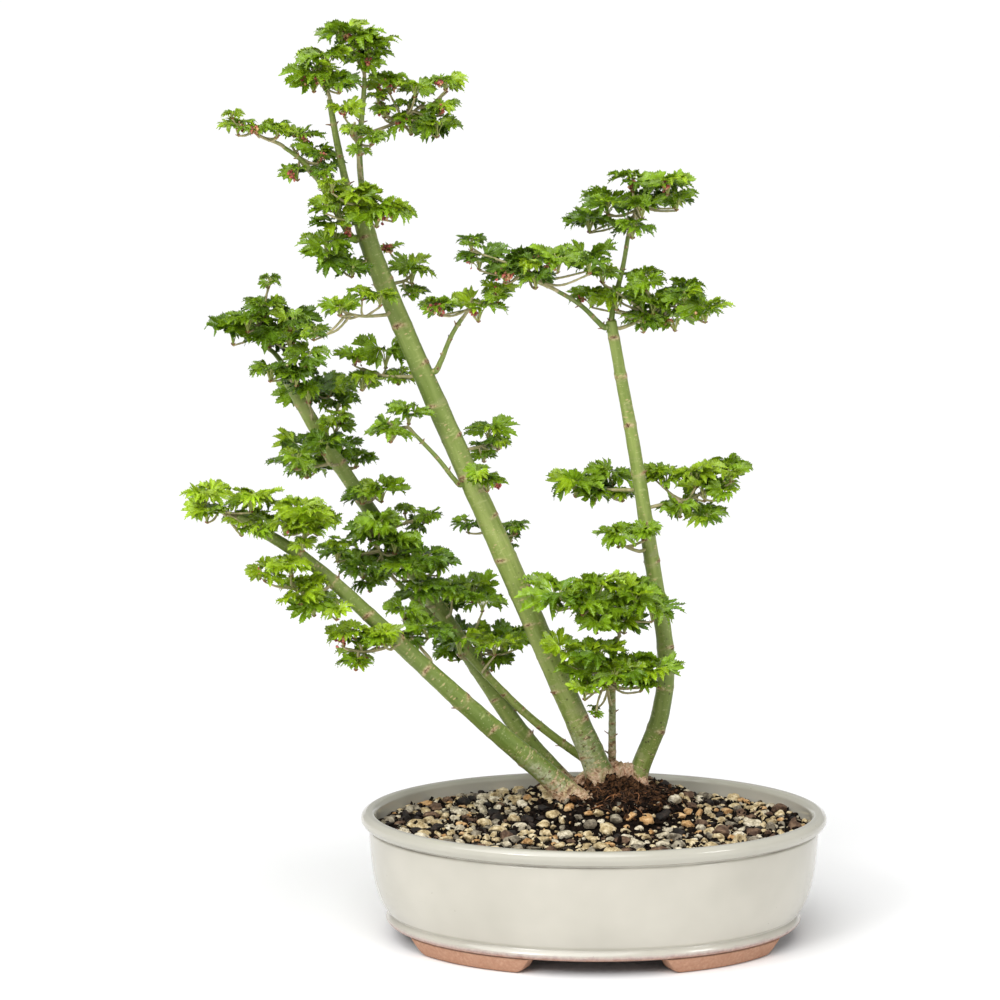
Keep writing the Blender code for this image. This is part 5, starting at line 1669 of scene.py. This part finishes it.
    def finish(self):
        for name, colour in TINTS:
            finish = leaf_material("leaf_" + name, srgb(*colour))
            for batch in self.leaves[name]:
                dress(batch.build(finish, 35), "leaf", *MASS_NODES)
        twig = plain_plant_material("twig_bark", srgb(148, 148, 92), srgb(188, 174, 134), 0.65)
        stalk = plain_plant_material("leaf_stalk", srgb(156, 172, 84), srgb(184, 184, 108), 0.5)
        scale = plain_plant_material("bud_scale", srgb(120, 66, 46), srgb(176, 116, 82), 0.6)
        dress(self.twigs.build(twig, 60), "bark", *MASS_NODES)
        dress(self.stalks.build(stalk, SMOOTH), "leaf", *MASS_NODES)
        dress(self.scales.build(scale), "leaf")
        for name, _, colours in BUDS:
            bud = plain_plant_material("flower_bud_" + name, *colours, 0.5, scale=900)
            dress(self.buds[name].build(bud, SMOOTH), "leaf")


# ---------------------------------------------------------------- stage

# The sky is white at its foot and this grey above; then its strength, and the sun's strength and width.
SKY, SKY_STRENGTH, SUN, SUN_DEGREES = 0.42, 1.03, 2.7, 65
SUN_FROM = Vector((-0.32, -0.62, 0.95))
LIT_PLACE = Vector((0, 0, 0.25))
# The camera as found from the pot's ellipses: lens and sensor, place in millimetres, and tilt.
LENS, SENSOR, CAMERA_PLACE, CAMERA_TILT_DEG = 108.0, 36.0, Vector((-61.32, -1923.75, 533.87)), 82.71


def area_light(name, place, size, power):
    data = bpy.data.lights.new(name, "AREA")
    data.shape = "RECTANGLE"
    data.size, data.size_y = size
    data.energy = power
    lamp = place_in_scene(name, data)
    lamp.location = place
    lamp.rotation_euler = (Vector(place) - LIT_PLACE).to_track_quat("Z", "Y").to_euler()


def make_floor():
    bm = bmesh.new()
    bmesh.ops.create_grid(bm, x_segments=1, y_segments=1, size=90)
    mesh = bpy.data.meshes.new("floor")
    bm.to_mesh(mesh)
    bm.free()
    floor = place_in_scene("floor", mesh)
    floor.location.z = -0.0002
    paper = Shader("floor_white", (0.93, 0.93, 0.93), 0.9, specular=0.1)
    paper.colour(paper.ramp(paper.noise(3, 2), [(0.3, (0.925, 0.925, 0.925)), (0.7, (0.935, 0.935, 0.935))]))
    mesh.materials.append(paper.made)


def make_sky():
    """White low down, so that the floor's far edge is lost in it, and grey above."""
    world = bpy.data.worlds.new("studio")
    bpy.context.scene.world = world
    world.use_nodes = True
    tree = world.node_tree
    place = tree.nodes.new("ShaderNodeTexCoord")
    split = tree.nodes.new("ShaderNodeSeparateXYZ")
    tree.links.new(place.outputs["Generated"], split.inputs[0])
    glow = tree.nodes.new("ShaderNodeValToRGB")
    low, high = glow.color_ramp.elements
    low.position, low.color = 0.06, (1, 1, 1, 1)
    high.position, high.color = 0.16, (SKY, SKY, SKY, 1)
    tree.links.new(split.outputs["Z"], glow.inputs["Fac"])
    tree.links.new(glow.outputs["Color"], tree.nodes["Background"].inputs["Color"])
    tree.nodes["Background"].inputs["Strength"].default_value = SKY_STRENGTH


def make_lights():
    data = bpy.data.lights.new("soft_sun", "SUN")
    data.energy, data.angle = SUN, math.radians(SUN_DEGREES)
    sun = place_in_scene("soft_sun", data)
    sun.rotation_euler = SUN_FROM.to_track_quat("Z", "Y").to_euler()
    area_light("key", (-1.0, -1.7, 1.3), (0.45, 0.35), 9)
    area_light("fill", (1.5, -1.1, 1.0), (0.4, 0.5), 6)


def make_camera():
    data = bpy.data.cameras.new("camera")
    data.lens, data.sensor_width = LENS, SENSOR
    data.clip_start, data.clip_end = 0.05, 100
    camera = place_in_scene("camera", data)
    camera.location = HOME + CAMERA_PLACE * MM
    camera.rotation_euler = (math.radians(CAMERA_TILT_DEG), 0, 0)
    bpy.context.scene.camera = camera


def main():
    bpy.context.scene.view_settings.view_transform = "Standard"
    limbs = plan_limbs()
    make_pot()
    make_feet()
    make_soil_bed()
    ground = [limb for limb in limbs.values() if not limb.joins]
    make_gravel([(place_along(limb.route, 0.03)[0].to_2d(), limb.base) for limb in ground])
    make_crumbs()
    make_root_mat()
    make_root_fibres()
    make_clods()
    make_burls()
    make_stems(limbs)
    foliage = Foliage(limbs)
    for mass in MASSES:
        foliage.grow(mass)
    for limb, place, reach, flowers in SPUR_SPRAYS:
        foliage.grow_on_spur(limbs[limb], Spray(Vector(place), reach, flowers))
    foliage.finish()
    make_floor()
    make_sky()
    make_lights()
    make_camera()


main()
